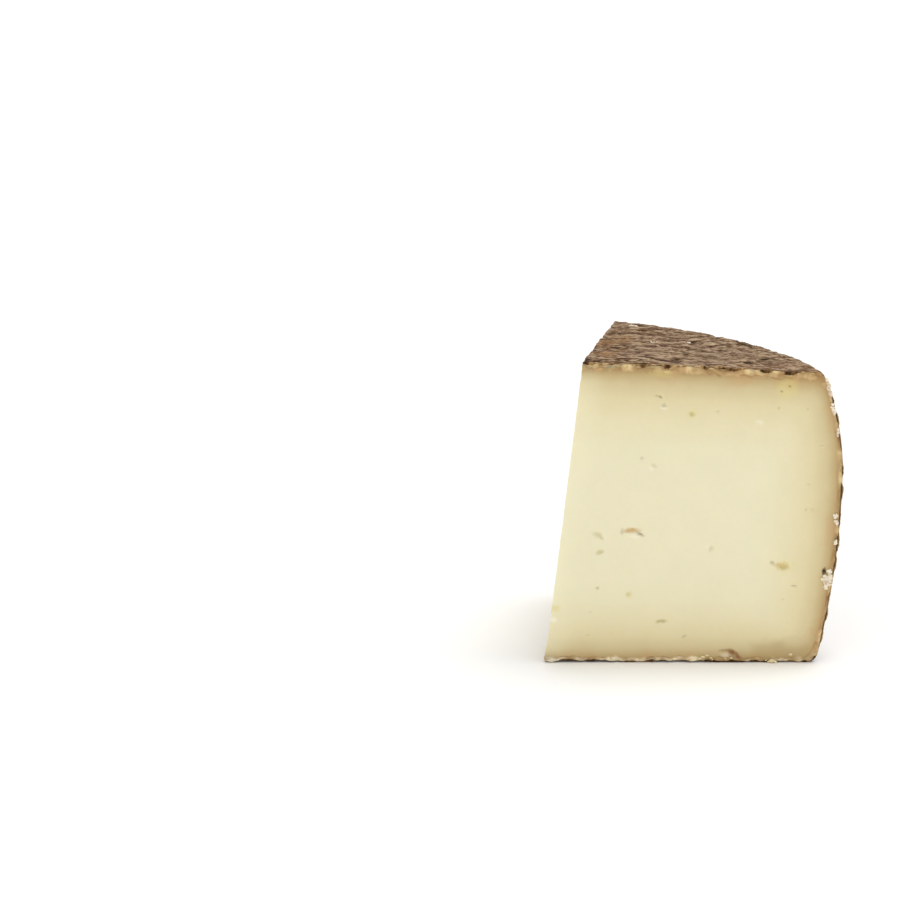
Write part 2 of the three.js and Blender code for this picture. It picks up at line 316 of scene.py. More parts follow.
@dataclass(frozen=True)
class Wedge:
    """The piece between the upright front cut and the leaning back cut."""

    wheel: Wheel = field(default_factory=Wheel)
    front_y: float = 1.6
    tip_top_x: float = 9.9
    tip_base_x: float = -2.1
    back_turn: float = math.radians(80.3)
    dry_softness: float = 1.6
    top_dryness: float = 0.85
    top_scorch: float = 0.6
    scorch_reach: float = 3.0
    base_dryness: float = 1.12
    turn_passes: int = 6
    grid_passes: int = 4

    def tip_x(self, z: Array) -> Array:
        """Place of the tip along the front cut, which shifts evenly with the height."""
        return self.tip_base_x + (self.tip_top_x - self.tip_base_x) * z / self.wheel.height

    def back_heading(self) -> Array:
        """Level direction of the back cut, away from the tip."""
        return np.array([math.cos(self.back_turn), math.sin(self.back_turn), 0.0])

    def front_outward(self) -> Array:
        """Normal of the front cut out of the cheese."""
        return np.array([0.0, -1.0, 0.0])

    def back_outward(self) -> Array:
        """Normal of the back cut out of the cheese: tip edge cross heading."""
        edge = np.array([self.tip_top_x - self.tip_base_x, 0.0, self.wheel.height])
        return unit(np.cross(edge, self.back_heading()))

    def back_depth(self, points: Array) -> Array:
        """Distance of points behind the back cut, positive in the cheese."""
        tip = np.array([self.tip_base_x, self.front_y, 0.0])
        return -(points - tip) @ self.back_outward()

    def tip_distance(self, points: Array) -> Array:
        """Level distance of points from the tip at their height."""
        return np.hypot(points[..., 0] - self.tip_x(points[..., 2]), points[..., 1] - self.front_y)

    def cut_turns(self, r: Array, z: Array) -> tuple[Array, Array]:
        """Directions from the axis in which the front and the back cut meet a ring of the wheel.

        The front one solves r s(a) sin a = y of the cut. The back one walks along the cut up to the ring.
        Both are repeated, as the ring's share s depends on the direction.

        Args:
            r: Mean radius of the ring.
            z: Height of the ring.

        Returns:
            The two directions, in radians.
        """
        front = np.zeros(np.broadcast(r, z).shape)
        back = front + self.back_turn
        tip_x = self.tip_x(z)
        heading = self.back_heading()
        along = tip_x * heading[0] + self.front_y * heading[1]
        for _ in range(self.turn_passes):
            front = np.arcsin(self.front_y / (r * self.wheel.share(front)))
            reach = (r * self.wheel.share(back)) ** 2 - tip_x**2 - self.front_y**2
            walk = -along + np.sqrt(along**2 + reach)
            back = np.arctan2(self.front_y + walk * heading[1], tip_x + walk * heading[0])
        return front, back

    def slope(self, x: Array, z: Array) -> Array:
        """Height after the slope of the top, which grows evenly from the base up."""
        return z * (1.0 - self.wheel.top_slope * (x - self.wheel.slope_start) / self.wheel.height)

    def fan(self, b: Array, a: Array, rows: Array) -> Array:
        """Top or base as a fan from the tip: tip + b (ring point - tip), lifted to the section's height.

        Args:
            b: Shares of the way from the tip to the outer ring, as a column.
            a: Shares of the turn from the front cut to the back cut, as a row.
            rows: The section's radii, rising, and heights.

        Returns:
            Points as rows, columns and coordinates.
        """
        ring = rows[-1, 0]
        z = np.full(np.broadcast(b, a).shape, rows[0, 1])
        x = y = z
        for _ in range(self.grid_passes):
            front, back = self.cut_turns(ring, z)
            turn = front + a * (back - front)
            reach = ring * self.wheel.share(turn)
            tip_x = self.tip_x(z)
            x = tip_x + b * (reach * np.cos(turn) - tip_x)
            y = self.front_y + b * (reach * np.sin(turn) - self.front_y)
            r = self.wheel.mean_radius(x, y)
            z = self.slope(x, np.interp(r, rows[:, 0], rows[:, 1]))
        return np.stack([x, y, z], axis=-1)

    def wall(self, r: Array, z: Array, a: Array) -> Array:
        """The rim: for each ring, points turned from the front cut to the back cut."""
        level = z + 0.0 * a
        height = x = y = level
        for _ in range(self.grid_passes):
            front, back = self.cut_turns(r, height)
            turn = front + a * (back - front)
            reach = r * self.wheel.share(turn)
            x = reach * np.cos(turn)
            y = reach * np.sin(turn)
            height = self.slope(x, level)
        return np.stack([x, y, height], axis=-1)

    def rind_depth(self, points: Array) -> Array:
        """How deep points lie under the nearest rind, as a soft least: -k log(sum of exp(-d / k)).

        The distance t from the top counts for less, because the top dries deepest: it is multiplied by
        dryness - scorch exp(-t / reach).
        """
        x, y, z = points[..., 0], points[..., 1], points[..., 2]
        r = self.wheel.mean_radius(x, y)
        top = self.slope(x, self.wheel.top_height(r)) - z
        side = self.wheel.side_radius(z) - r
        k = self.dry_softness
        top = top * (self.top_dryness - self.top_scorch * np.exp(-np.maximum(top, 0.0) / self.scorch_reach))
        distances = (top, side, self.base_dryness * z)
        total = sum(np.exp(-np.maximum(d, 0.0) / k) for d in distances)
        return np.maximum(-k * np.log(total), 0.0)


class Skin:
    """The wheel's outer surface between the cuts, as one grid from the tip over the rim to the tip."""

    def __init__(self, wedge: Wedge, top: Array, rim: Array, base: Array, turns: Array) -> None:
        """Works out the grid and its outward normals.

        Args:
            wedge: The form.
            top: Shares from 0 to 1 of the rows over the top.
            rim: Shares of the rows down the rim.
            base: Shares of the rows back over the base.
            turns: Shares of the columns from the front cut to the back cut.
        """
        top_rows, side_rows, base_rows = wedge.wheel.outline()
        run = np.concatenate([[0.0], np.cumsum(np.linalg.norm(np.diff(side_rows, axis=0), axis=1))])
        ring_r = np.interp(rim * run[-1], run, side_rows[:, 0])[:, None]
        ring_z = np.interp(rim * run[-1], run, side_rows[:, 1])[:, None]
        a = turns[None, :]
        self.seams = (len(top) - 1, len(top) + len(rim) - 2)
        self.points = np.concatenate(
            [
                wedge.fan(top[:, None], a, top_rows),
                wedge.wall(ring_r, ring_z, a)[1:],
                wedge.fan(base[::-1, None], a, base_rows[::-1])[1:],
            ]
        )
        self.normals = self.outward(self.points)

    @staticmethod
    def outward(points: Array) -> Array:
        """Normals as the cross product of the differences along columns and rows.

        Where a fan closes on the tip, the next row's normals are used.
        """
        normals = np.cross(np.gradient(points, axis=0), np.gradient(points, axis=1))
        normals[0] = normals[1]
        normals[-1] = normals[-2]
        normals = unit(normals)
        away = points - points.mean(axis=(0, 1))
        return normals * np.sign(np.sum(normals * away, axis=-1).mean())


# Meshes


@dataclass(frozen=True)
class Row:
    """Turns millimetres from the wheel's axis into metres in the frame of the solid."""

    wedge: Wedge
    noise: Noise
    foot_round: float = 1.3
    foot_reach: float = 6.0
    foot_swell: float = 0.4
    curl: float = 0.7
    curl_span: float = 8.0
    curl_height: float = 2.4
    curl_reach: float = 4.0
    curl_start: Band = (-0.8, -0.3)
    curl_mean: float = 0.15
    curl_swing: float = 1.3
    swell_fade: Band = (9.0, 3.0)

    def worn(self, points: Array) -> Array:
        """Rounds off the foot of the tip, and lifts the foot of the front cut off the ground in places.

        Below the rounding's radius R, x grows by R - sqrt(R^2 - (R - z)^2), less so away from the tip,
        and the lowest centimetre of the tip swells forward a little.
        z grows by the curl times noise along x, which fades out upwards and behind the cut.
        """
        x, z = points[..., 0], points[..., 2]
        behind = points[..., 1] - self.wedge.front_y
        below = np.clip(self.foot_round - z, 0.0, self.foot_round)
        near = smoothstep(self.foot_reach, 0.0, self.wedge.tip_distance(points))
        moved = points.copy()
        moved[..., 0] += near * (self.foot_round - np.sqrt(self.foot_round**2 - below**2))
        moved[..., 0] -= near * self.foot_swell * smoothstep(*self.swell_fade, z)
        swing = self.curl_swing * self.noise(x / self.curl_span, 0.5, 2.0)
        lifted = self.curl * np.clip(self.curl_mean + swing, 0.0, 1.0)
        fade = smoothstep(self.curl_height, 0.0, z) * smoothstep(self.curl_reach, 0.0, behind)
        moved[..., 2] += lifted * fade * smoothstep(*self.curl_start, behind)
        return moved

    def metres(self, points: Array) -> Array:
        """Moves the tip's foot into the corner of the solid's box, where it stands."""
        low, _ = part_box(NODE)
        corner = np.array([self.wedge.tip_base_x, self.wedge.front_y, 0.0])
        return (self.worn(points) - corner) * MM + np.array([low.x, low.y, 0.0])


@dataclass
class Patchwork:
    """Grids and strips of triangles that are merged where their vertices are the same."""

    row: Row
    points: list[Array] = field(default_factory=list)
    values: list[dict[str, Array]] = field(default_factory=list)
    faces: list[Array] = field(default_factory=list)
    count: int = 0
    same_digits: int = 4

    def add(self, points: Array, faces: Array, values: dict[str, Array]) -> None:
        """Adds a patch.

        Args:
            points: Vertices, in any grid shape.
            faces: Rows of three vertex numbers within this patch.
            values: Attributes of the vertices, of one or three numbers each.
        """
        flat = points.reshape(-1, 3)
        self.points.append(flat)
        self.values.append({key: value.reshape(len(flat), -1) for key, value in values.items()})
        self.faces.append(faces + self.count)
        self.count += len(flat)

    def grid(self, points: Array, values: dict[str, Array]) -> None:
        """Adds a grid of points, with two triangles to a cell."""
        rows, columns = points.shape[:2]
        number = np.arange(rows * columns).reshape(rows, columns)
        a, b = number[:-1, :-1].ravel(), number[:-1, 1:].ravel()
        c, d = number[1:, 1:].ravel(), number[1:, :-1].ravel()
        faces = np.concatenate([np.stack([a, b, c], 1), np.stack([a, c, d], 1)])
        self.add(points, faces, values)

    def build(self, name: str) -> bpy.types.Object:
        """Merges the patches, turns the faces outwards and makes the piece.

        Args:
            name: Name of the piece.

        Returns:
            The new object, at the origin.
        """
        points = np.concatenate(self.points)
        rounded = np.round(points, self.same_digits)
        _, first, merged = np.unique(rounded, axis=0, return_index=True, return_inverse=True)
        faces = merged.reshape(-1)[np.concatenate(self.faces)]
        a, b, c = faces.T
        faces = faces[(a != b) & (b != c) & (a != c)]
        points = points[first]
        p, q, r = (points[faces[:, i]] for i in range(3))
        if np.sum(p * np.cross(q, r)) < 0.0:
            faces = faces[:, ::-1]
        values = {
            key: np.concatenate([part[key] for part in self.values])[first]
            for key in self.values[0]
        }
        return make_piece(name, self.row.metres(points), faces, values)


def make_piece(name: str, points: Array, faces: Array, values: dict[str, Array]) -> bpy.types.Object:
    """Puts vertices, triangles and attributes into a new mesh object.

    Args:
        name: Name of the piece.
        points: Vertices in metres.
        faces: Rows of three vertex numbers.
        values: Attributes of the vertices, of one or three numbers each.

    Returns:
        The new object, at the origin.
    """
    mesh = bpy.data.meshes.new(name)
    mesh.vertices.add(len(points))
    mesh.vertices.foreach_set("co", points.astype(np.float32).ravel())
    mesh.loops.add(faces.size)
    mesh.loops.foreach_set("vertex_index", faces.astype(np.int32).ravel())
    mesh.polygons.add(len(faces))
    mesh.polygons.foreach_set("loop_start", np.arange(0, faces.size, 3, dtype=np.int32))
    mesh.polygons.foreach_set("use_smooth", np.ones(len(faces), dtype=bool))
    mesh.update(calc_edges=True)
    for key, value in values.items():
        kind, slot = ("FLOAT", "value") if value.shape[1] == 1 else ("FLOAT_VECTOR", "vector")
        attribute = mesh.attributes.new(key, kind, "POINT")
        attribute.data.foreach_set(slot, value.astype(np.float32).ravel())
    mesh.set_sharp_from_angle(angle=SHARP_ANGLE)
    made = bpy.data.objects.new(name, mesh)
    bpy.context.scene.collection.objects.link(made)
    return made


# Marks on the cuts


def linear(display: Display) -> tuple[float, ...]:
    """Display values out of 255 as linear light, by the sRGB curve."""
    shares = [value / 255.0 for value in display]
    return tuple(s / 12.92 if s <= 0.04045 else ((s + 0.055) / 1.055) ** 2.4 for s in shares)


class Tint(Enum):
    """Colours of the marks in the paste, as display values out of 255."""

    OCHRE = (200, 172, 104)
    BROWN = (146, 122, 76)
    OLIVE = (194, 182, 120)
    YELLOW = (226, 214, 138)
    PALE = (250, 246, 228)
    RUST = (146, 98, 58)
    # Painted shade for the inside of a torn hole
    HOLE_SHADE = (58, 34, 14)
    TAN = (208, 173, 110)
    DUSK = (206, 194, 150)
    PEACH = (222, 178, 128)
    GREY = (168, 158, 122)
    SMOKE = (176, 150, 100)


@dataclass(frozen=True)
class Eye:
    """An opening or a stain in a cut: place along and up the cut, size, depth, turn and colour."""

    x: float
    z: float
    width: float
    height: float
    depth: float = 0.0
    tilt: float = 0.0
    tint: Tint = Tint.OLIVE
    strength: float = 0.6

    def reach(self, x: Array, z: Array) -> Array:
        """Distance from the middle, in half widths along it and half heights across it."""
        turn = math.radians(self.tilt)
        dx = x - self.x
        dz = z - self.z
        u = dx * math.cos(turn) + dz * math.sin(turn)
        v = dz * math.cos(turn) - dx * math.sin(turn)
        return np.hypot(2.0 * u / self.width, 2.0 * v / self.height)


FRONT_EYES = (
    Eye(26.4, 45.6, 5.6, 1.7, 0.6, 2, Tint.TAN, 0.85),
    Eye(29.4, 44.3, 2.8, 0.9, 0.7, -28, Tint.BROWN, 0.7),
    Eye(23.3, 45.2, 1.1, 2.0, 0.4, 0, Tint.GREY, 0.4),
    Eye(15.3, 44.0, 3.4, 1.9, 0.2, -20, Tint.OLIVE, 0.5),
    Eye(16.8, 42.8, 1.3, 0.9, 0.3, -30, Tint.OLIVE, 0.5),
    Eye(16.0, 38.1, 2.8, 1.6, 0.25, 20, Tint.OLIVE, 0.6),
    Eye(35.6, 91.1, 1.3, 0.8, 0.5, -30, Tint.BROWN, 0.65),
    Eye(34.4, 91.5, 1.0, 0.6, 0.4, 0, Tint.BROWN, 0.45),
    Eye(36.9, 88.3, 1.8, 1.5, 0.35, 30, Tint.GREY, 0.3),
    Eye(46.2, 85.3, 1.8, 1.6, 0.5, 35, Tint.OLIVE, 0.7),
    Eye(54.8, 86.2, 1.2, 1.0, 0.3, 0, Tint.OLIVE, 0.4),
    Eye(33.8, 67.6, 2.0, 1.4, 0.3, -40, Tint.DUSK, 0.45),
    Eye(29.8, 70.2, 1.0, 1.3, 0.35, 0, Tint.GREY, 0.4),
    Eye(53.1, 39.3, 2.0, 1.8, 0.3, 40, Tint.DUSK, 0.5),
    Eye(77.0, 33.3, 4.4, 2.6, 0.7, -8, Tint.OCHRE, 0.75),
    Eye(73.6, 34.4, 1.4, 1.3, 0.45, -25, Tint.BROWN, 0.45),
    Eye(81.0, 26.5, 1.8, 0.6, 0.45, 0, Tint.BROWN, 0.6),
    Eye(84.6, 52.7, 1.0, 0.7, 0.4, 0, Tint.BROWN, 0.6),
    Eye(86.5, 52.7, 1.6, 0.7, 0.35, -10, Tint.OLIVE, 0.5),
    Eye(25.8, 23.6, 1.8, 1.5, 0.35, 20, Tint.OLIVE, 0.5),
    Eye(15.3, 25.7, 1.0, 1.0, 0.4, 0, Tint.BROWN, 0.5),
    Eye(36.8, 14.2, 3.8, 1.1, 0.5, 6, Tint.OLIVE, 0.85),
    Eye(44.6, 9.0, 1.8, 0.8, 0.35, 30, Tint.GREY, 0.4),
)

FRONT_STAINS = (
    Eye(77.5, 94.0, 7.5, 9.0, tint=Tint.YELLOW, strength=0.35),
    Eye(78.5, 94.6, 0.9, 0.8, tint=Tint.BROWN, strength=0.85),
    Eye(75.8, 93.0, 1.0, 0.7, tint=Tint.BROWN, strength=0.75),
    Eye(77.8, 33.2, 7.0, 4.0, tint=Tint.YELLOW, strength=0.25),
    Eye(46.0, 85.5, 3.6, 3.6, tint=Tint.YELLOW, strength=0.3),
    Eye(26.2, 23.4, 3.2, 3.0, tint=Tint.YELLOW, strength=0.2),
    Eye(33.0, 66.8, 2.0, 1.2, tint=Tint.PALE, strength=0.5),
    Eye(36.8, 87.3, 2.2, 0.9, tint=Tint.PALE, strength=0.5),
    Eye(52.0, 39.8, 1.4, 1.6, tint=Tint.PALE, strength=0.4),
    Eye(27.8, 43.4, 4.0, 1.0, tint=Tint.PALE, strength=0.4),
    Eye(74.9, 87.2, 0.9, 1.3, tint=Tint.OLIVE, strength=0.6),
    Eye(84.6, 87.0, 0.9, 0.7, tint=Tint.OLIVE, strength=0.6),
    Eye(68.6, 82.4, 2.4, 1.6, tint=Tint.PALE, strength=0.45),
    Eye(68.2, 82.0, 0.9, 0.8, tint=Tint.DUSK, strength=0.4),
    Eye(36.0, 99.0, 8.0, 2.4, tint=Tint.YELLOW, strength=0.3),
    Eye(14.6, 101.0, 3.2, 2.2, tint=Tint.PEACH, strength=0.6),
    Eye(18.6, 101.3, 3.4, 1.5, tint=Tint.GREY, strength=0.7),
    Eye(0.9, 18.7, 4.0, 2.2, tint=Tint.YELLOW, strength=0.6),
    Eye(0.4, 14.7, 3.2, 1.6, tint=Tint.PALE, strength=0.7),
    Eye(89.6, 74.6, 2.2, 0.9, tint=Tint.DUSK, strength=0.6),
    Eye(85.2, 61.3, 1.6, 0.9, tint=Tint.DUSK, strength=0.6),
    Eye(12.1, 9.4, 1.3, 0.8, tint=Tint.OCHRE, strength=0.4),
    Eye(13.0, 17.4, 1.2, 0.8, tint=Tint.DUSK, strength=0.4),
    Eye(77.3, 21.8, 1.3, 0.6, tint=Tint.OCHRE, strength=0.5),
    Eye(80.0, 3.0, 30.0, 9.0, tint=Tint.SMOKE, strength=0.5),
    # Painted shade in the torn hole at the rim's edge, near black over the deep pocket
    Eye(91.0, 31.5, 1.5, 2.2, tint=Tint.HOLE_SHADE, strength=0.95),
    Eye(58.2, 4.2, 3.6, 1.1, tilt=4.0, tint=Tint.RUST, strength=0.55),
    Eye(60.6, 3.5, 3.2, 2.0, tilt=-35.0, tint=Tint.RUST, strength=0.9),
    Eye(62.7, 1.9, 2.8, 1.4, tilt=-45.0, tint=Tint.RUST, strength=0.9),
    Eye(58.5, 2.4, 3.4, 1.5, tint=Tint.PALE, strength=0.35),
)


@dataclass(frozen=True)
class Pocket:
    """A hollow torn out of the front cut's edge: place, size and depth."""

    x: float
    z: float
    width: float
    height: float
    depth: float


TORN_POCKETS = (
    Pocket(61.4, 2.6, 3.4, 2.6, 0.8),
    Pocket(33.9, 0.4, 3.0, 3.4, 1.2),
    Pocket(91.2, 31.4, 1.5, 2.4, 1.3),
    Pocket(93.6, 89.0, 2.4, 3.4, 0.9),
)


@dataclass(frozen=True)
class BackEyes:
    """How the pits of the back cut are drawn, as in the solid."""

    seed: int = 41
    count: int = 15
    strength: float = 0.4
    margin: float = 9.0
    least: float = 1.2
    most: float = 4.2
    flattest: float = 0.4
    roundest: float = 0.8
    depth_share: float = 0.4

    def draw(self, wheel: Wheel) -> tuple[Eye, ...]:
        """Draws height, place, width, flatness and turn of each pit, in that order.

        The first draw is thrown away, as seeding the solid's generator takes it.
        """
        draw = Draw(self.seed)
        draw()
        tints = (Tint.OLIVE, Tint.OCHRE, Tint.BROWN)
        made = []
        for i in range(self.count):
            z = draw.between(self.margin, wheel.height - self.margin)
            x = draw.between(self.margin, float(wheel.side_radius(0.0)) - self.margin)
            width = draw.between(self.least, self.most)
            height = width * draw.between(self.flattest, self.roundest)
            turn = math.degrees(draw() - 0.5)
            depth = self.depth_share * width
            made.append(Eye(x, z, width, height, depth, turn, tints[i % 3], self.strength))
        return tuple(made)


@dataclass(frozen=True)
class EdgeMark:
    """A stretch of the front cut's edge: place and width, and what shows there.

    That is extra depth of dark rind, a share of pale lip, or a share of rind broken off the plain paste.
    """

    x: float
    z: float
    width: float
    rind: float = 0.0
    lip: float = 0.0
    bare: float = 0.0


EDGE_MARKS = (
    EdgeMark(10.8, 102.3, 3.0, rind=0.5),
    EdgeMark(14.4, 102.3, 2.6, lip=0.9),
    EdgeMark(17.4, 102.2, 3.0, rind=0.5),
    EdgeMark(25.0, 102.0, 7.0, lip=0.7),
    EdgeMark(30.0, 101.9, 3.4, rind=0.8),
    EdgeMark(34.0, 101.8, 3.6, lip=0.6),
    EdgeMark(37.4, 101.7, 2.8, rind=0.8),
    EdgeMark(38.6, 101.2, 1.5, rind=1.3),
    EdgeMark(44.5, 101.5, 6.5, lip=0.8),
    EdgeMark(50.2, 101.3, 2.6, rind=0.7),
    EdgeMark(52.4, 101.2, 1.8, lip=0.9),
    EdgeMark(55.2, 101.0, 2.0, rind=0.6),
    EdgeMark(59.4, 100.9, 4.0, rind=0.8),
    EdgeMark(64.9, 100.5, 3.6, lip=1.3),
    EdgeMark(69.6, 100.2, 2.8, rind=1.0),
    EdgeMark(71.6, 100.2, 1.8, rind=0.9),
    EdgeMark(73.8, 100.0, 2.4, lip=1.2),
    EdgeMark(78.6, 99.7, 4.8, rind=1.2),
    EdgeMark(84.4, 99.4, 4.0, bare=0.9),
    EdgeMark(87.8, 98.8, 4.4, bare=1.3),
    EdgeMark(90.4, 97.4, 4.4, bare=1.3),
    EdgeMark(94.8, 73.4, 2.4, rind=0.5),
    EdgeMark(95.4, 68.3, 2.0, rind=0.5),
    EdgeMark(94.9, 59.4, 2.4, rind=0.5),
    EdgeMark(94.0, 38.5, 1.8, rind=0.6),
    EdgeMark(91.6, 30.6, 3.0, rind=0.9),
    EdgeMark(1.0, 0.3, 6.0, lip=0.9),
    EdgeMark(5.6, 0.3, 1.4, rind=0.3),
    EdgeMark(9.3, 0.3, 5.0, lip=0.7),
    EdgeMark(13.0, 0.3, 1.4, rind=0.3),
    EdgeMark(20.0, 0.3, 9.0, lip=0.7),
    EdgeMark(29.8, 0.3, 4.6, rind=0.25),
    EdgeMark(33.7, 0.3, 1.8, rind=0.9),
    EdgeMark(38.7, 0.3, 6.0, lip=0.8),
    EdgeMark(43.6, 0.3, 2.4, rind=0.4),
    EdgeMark(47.8, 0.3, 4.4, lip=0.8),
    EdgeMark(54.5, 0.3, 6.0, rind=0.8),
    EdgeMark(61.2, 0.3, 5.6, rind=0.9),
    EdgeMark(65.6, 0.3, 3.0, lip=0.9),
    EdgeMark(68.8, 0.3, 4.6, rind=0.35),
    EdgeMark(76.5, 0.3, 7.0, lip=0.7),
    EdgeMark(85.0, 0.5, 3.0, rind=0.5),
)


@dataclass(frozen=True)
class Crumble:
    """How raggedly the cuts break off at the rind. The paste and the rind both follow it."""

    wedge: Wedge
    noise: Noise
    lip_span: float = 4.2
    lip_bias: float = 0.3
    back_lip: float = 0.45
    top_wall: float = 0.6
    rim_wall: float = 0.12
    base_wall: float = 0.4
    least_wall: float = 0.05
    top_dark: float = 0.36
    rim_dark: float = 0.15
    # At the base: partly the rind's own dark and partly painted shade under the foot
    base_dark_and_shade: float = 1.0
    level: float = 0.5
    front_reach: float = 1.5
    lip_reach: float = 5.0
    mark_fall: float = 2.6
    finer: Band = (0.35, 0.4)
    lip_loss: float = 0.9
    uneven_wall: Layers = ((0.6, 2.6, 21.0), (0.5, 1.1, 33.0))
    uneven_mark: Layers = ((0.7, 0.8, 37.0),)
    mark_share: float = 0.8
    uneven_dark: Layers = ((0.45, 2.4, 51.0), (0.35, 0.9, 57.0))
    dark_by_mark: float = 0.5
    dark_by_lip: float = 0.4

    def marked(self, points: Array, value: str) -> Array:
        """Sum of the named value of each edge mark, times the bell of fall d / width at a distance d."""
        total = np.zeros(points.shape[:-1])
        for mark in EDGE_MARKS:
            distance = np.hypot(points[..., 0] - mark.x, points[..., 2] - mark.z)
            total += getattr(mark, value) * bell(self.mark_fall * distance / mark.width)
        return total * smoothstep(self.front_reach, 0.0, points[..., 1] - self.wedge.front_y)

    def lip(self, points: Array) -> Array:
        """Share, from 0 to 1, to which pale paste stands over the rind at an edge."""
        loose = self.lip_bias + self.noise.at(points, self.lip_span, 3.0)
        amount, share = self.finer
        finer = amount * self.noise.at(points, share * self.lip_span, 9.0)
        marks = self.marked(points, "lip") + self.bare(points)
        marks = marks - self.lip_loss * self.marked(points, "rind")
        front = smoothstep(self.lip_reach, 0.0, points[..., 1] - self.wedge.front_y)
        return np.clip(loose + finer + marks, 0.0, 1.0) * mix(self.back_lip, 1.0, front)

    def bare(self, points: Array) -> Array:
        """Share to which the rind has broken off plain paste."""
        return self.marked(points, "bare")

    def by_lift(self, lift: Array, top: float, rim: float, base: float) -> Array:
        """One value for the top, another for the rim and a third for the base, told apart by the lift."""
        return np.where(lift > self.level, top, np.where(lift < -self.level, base, rim))

    def wall(self, points: Array, lift: Array) -> Array:
        """Depth of the dark rind that shows at a cut.

        Args:
            points: Places on the edge.
            lift: Upward part of the skin's normal there, which tells top, rim and base apart.

        Returns:
            The depth in millimetres.
        """
        depth = self.by_lift(lift, self.top_wall, self.rim_wall, self.base_wall)
        uneven = self.noise.blend(points, self.uneven_wall)
        marks = self.marked(points, "rind") * (self.mark_share + self.noise.blend(points, self.uneven_mark))
        return np.maximum(depth * (1.0 + uneven) + marks, self.least_wall)

    def dark(self, points: Array, lift: Array) -> Array:
        """Share, from 0 to 1, of dark, dried rind where the rind shows at a cut; at the base it is near
        black, partly the rind's own dark and partly painted shade under the foot.
        """
        share = self.by_lift(lift, self.top_dark, self.rim_dark, self.base_dark_and_shade)
        loose = self.noise.blend(points, self.uneven_dark)
        marks = self.dark_by_mark * self.marked(points, "rind") - self.dark_by_lip * self.lip(points)
        return np.clip(share + loose + marks, 0.0, 1.0)


# The paste


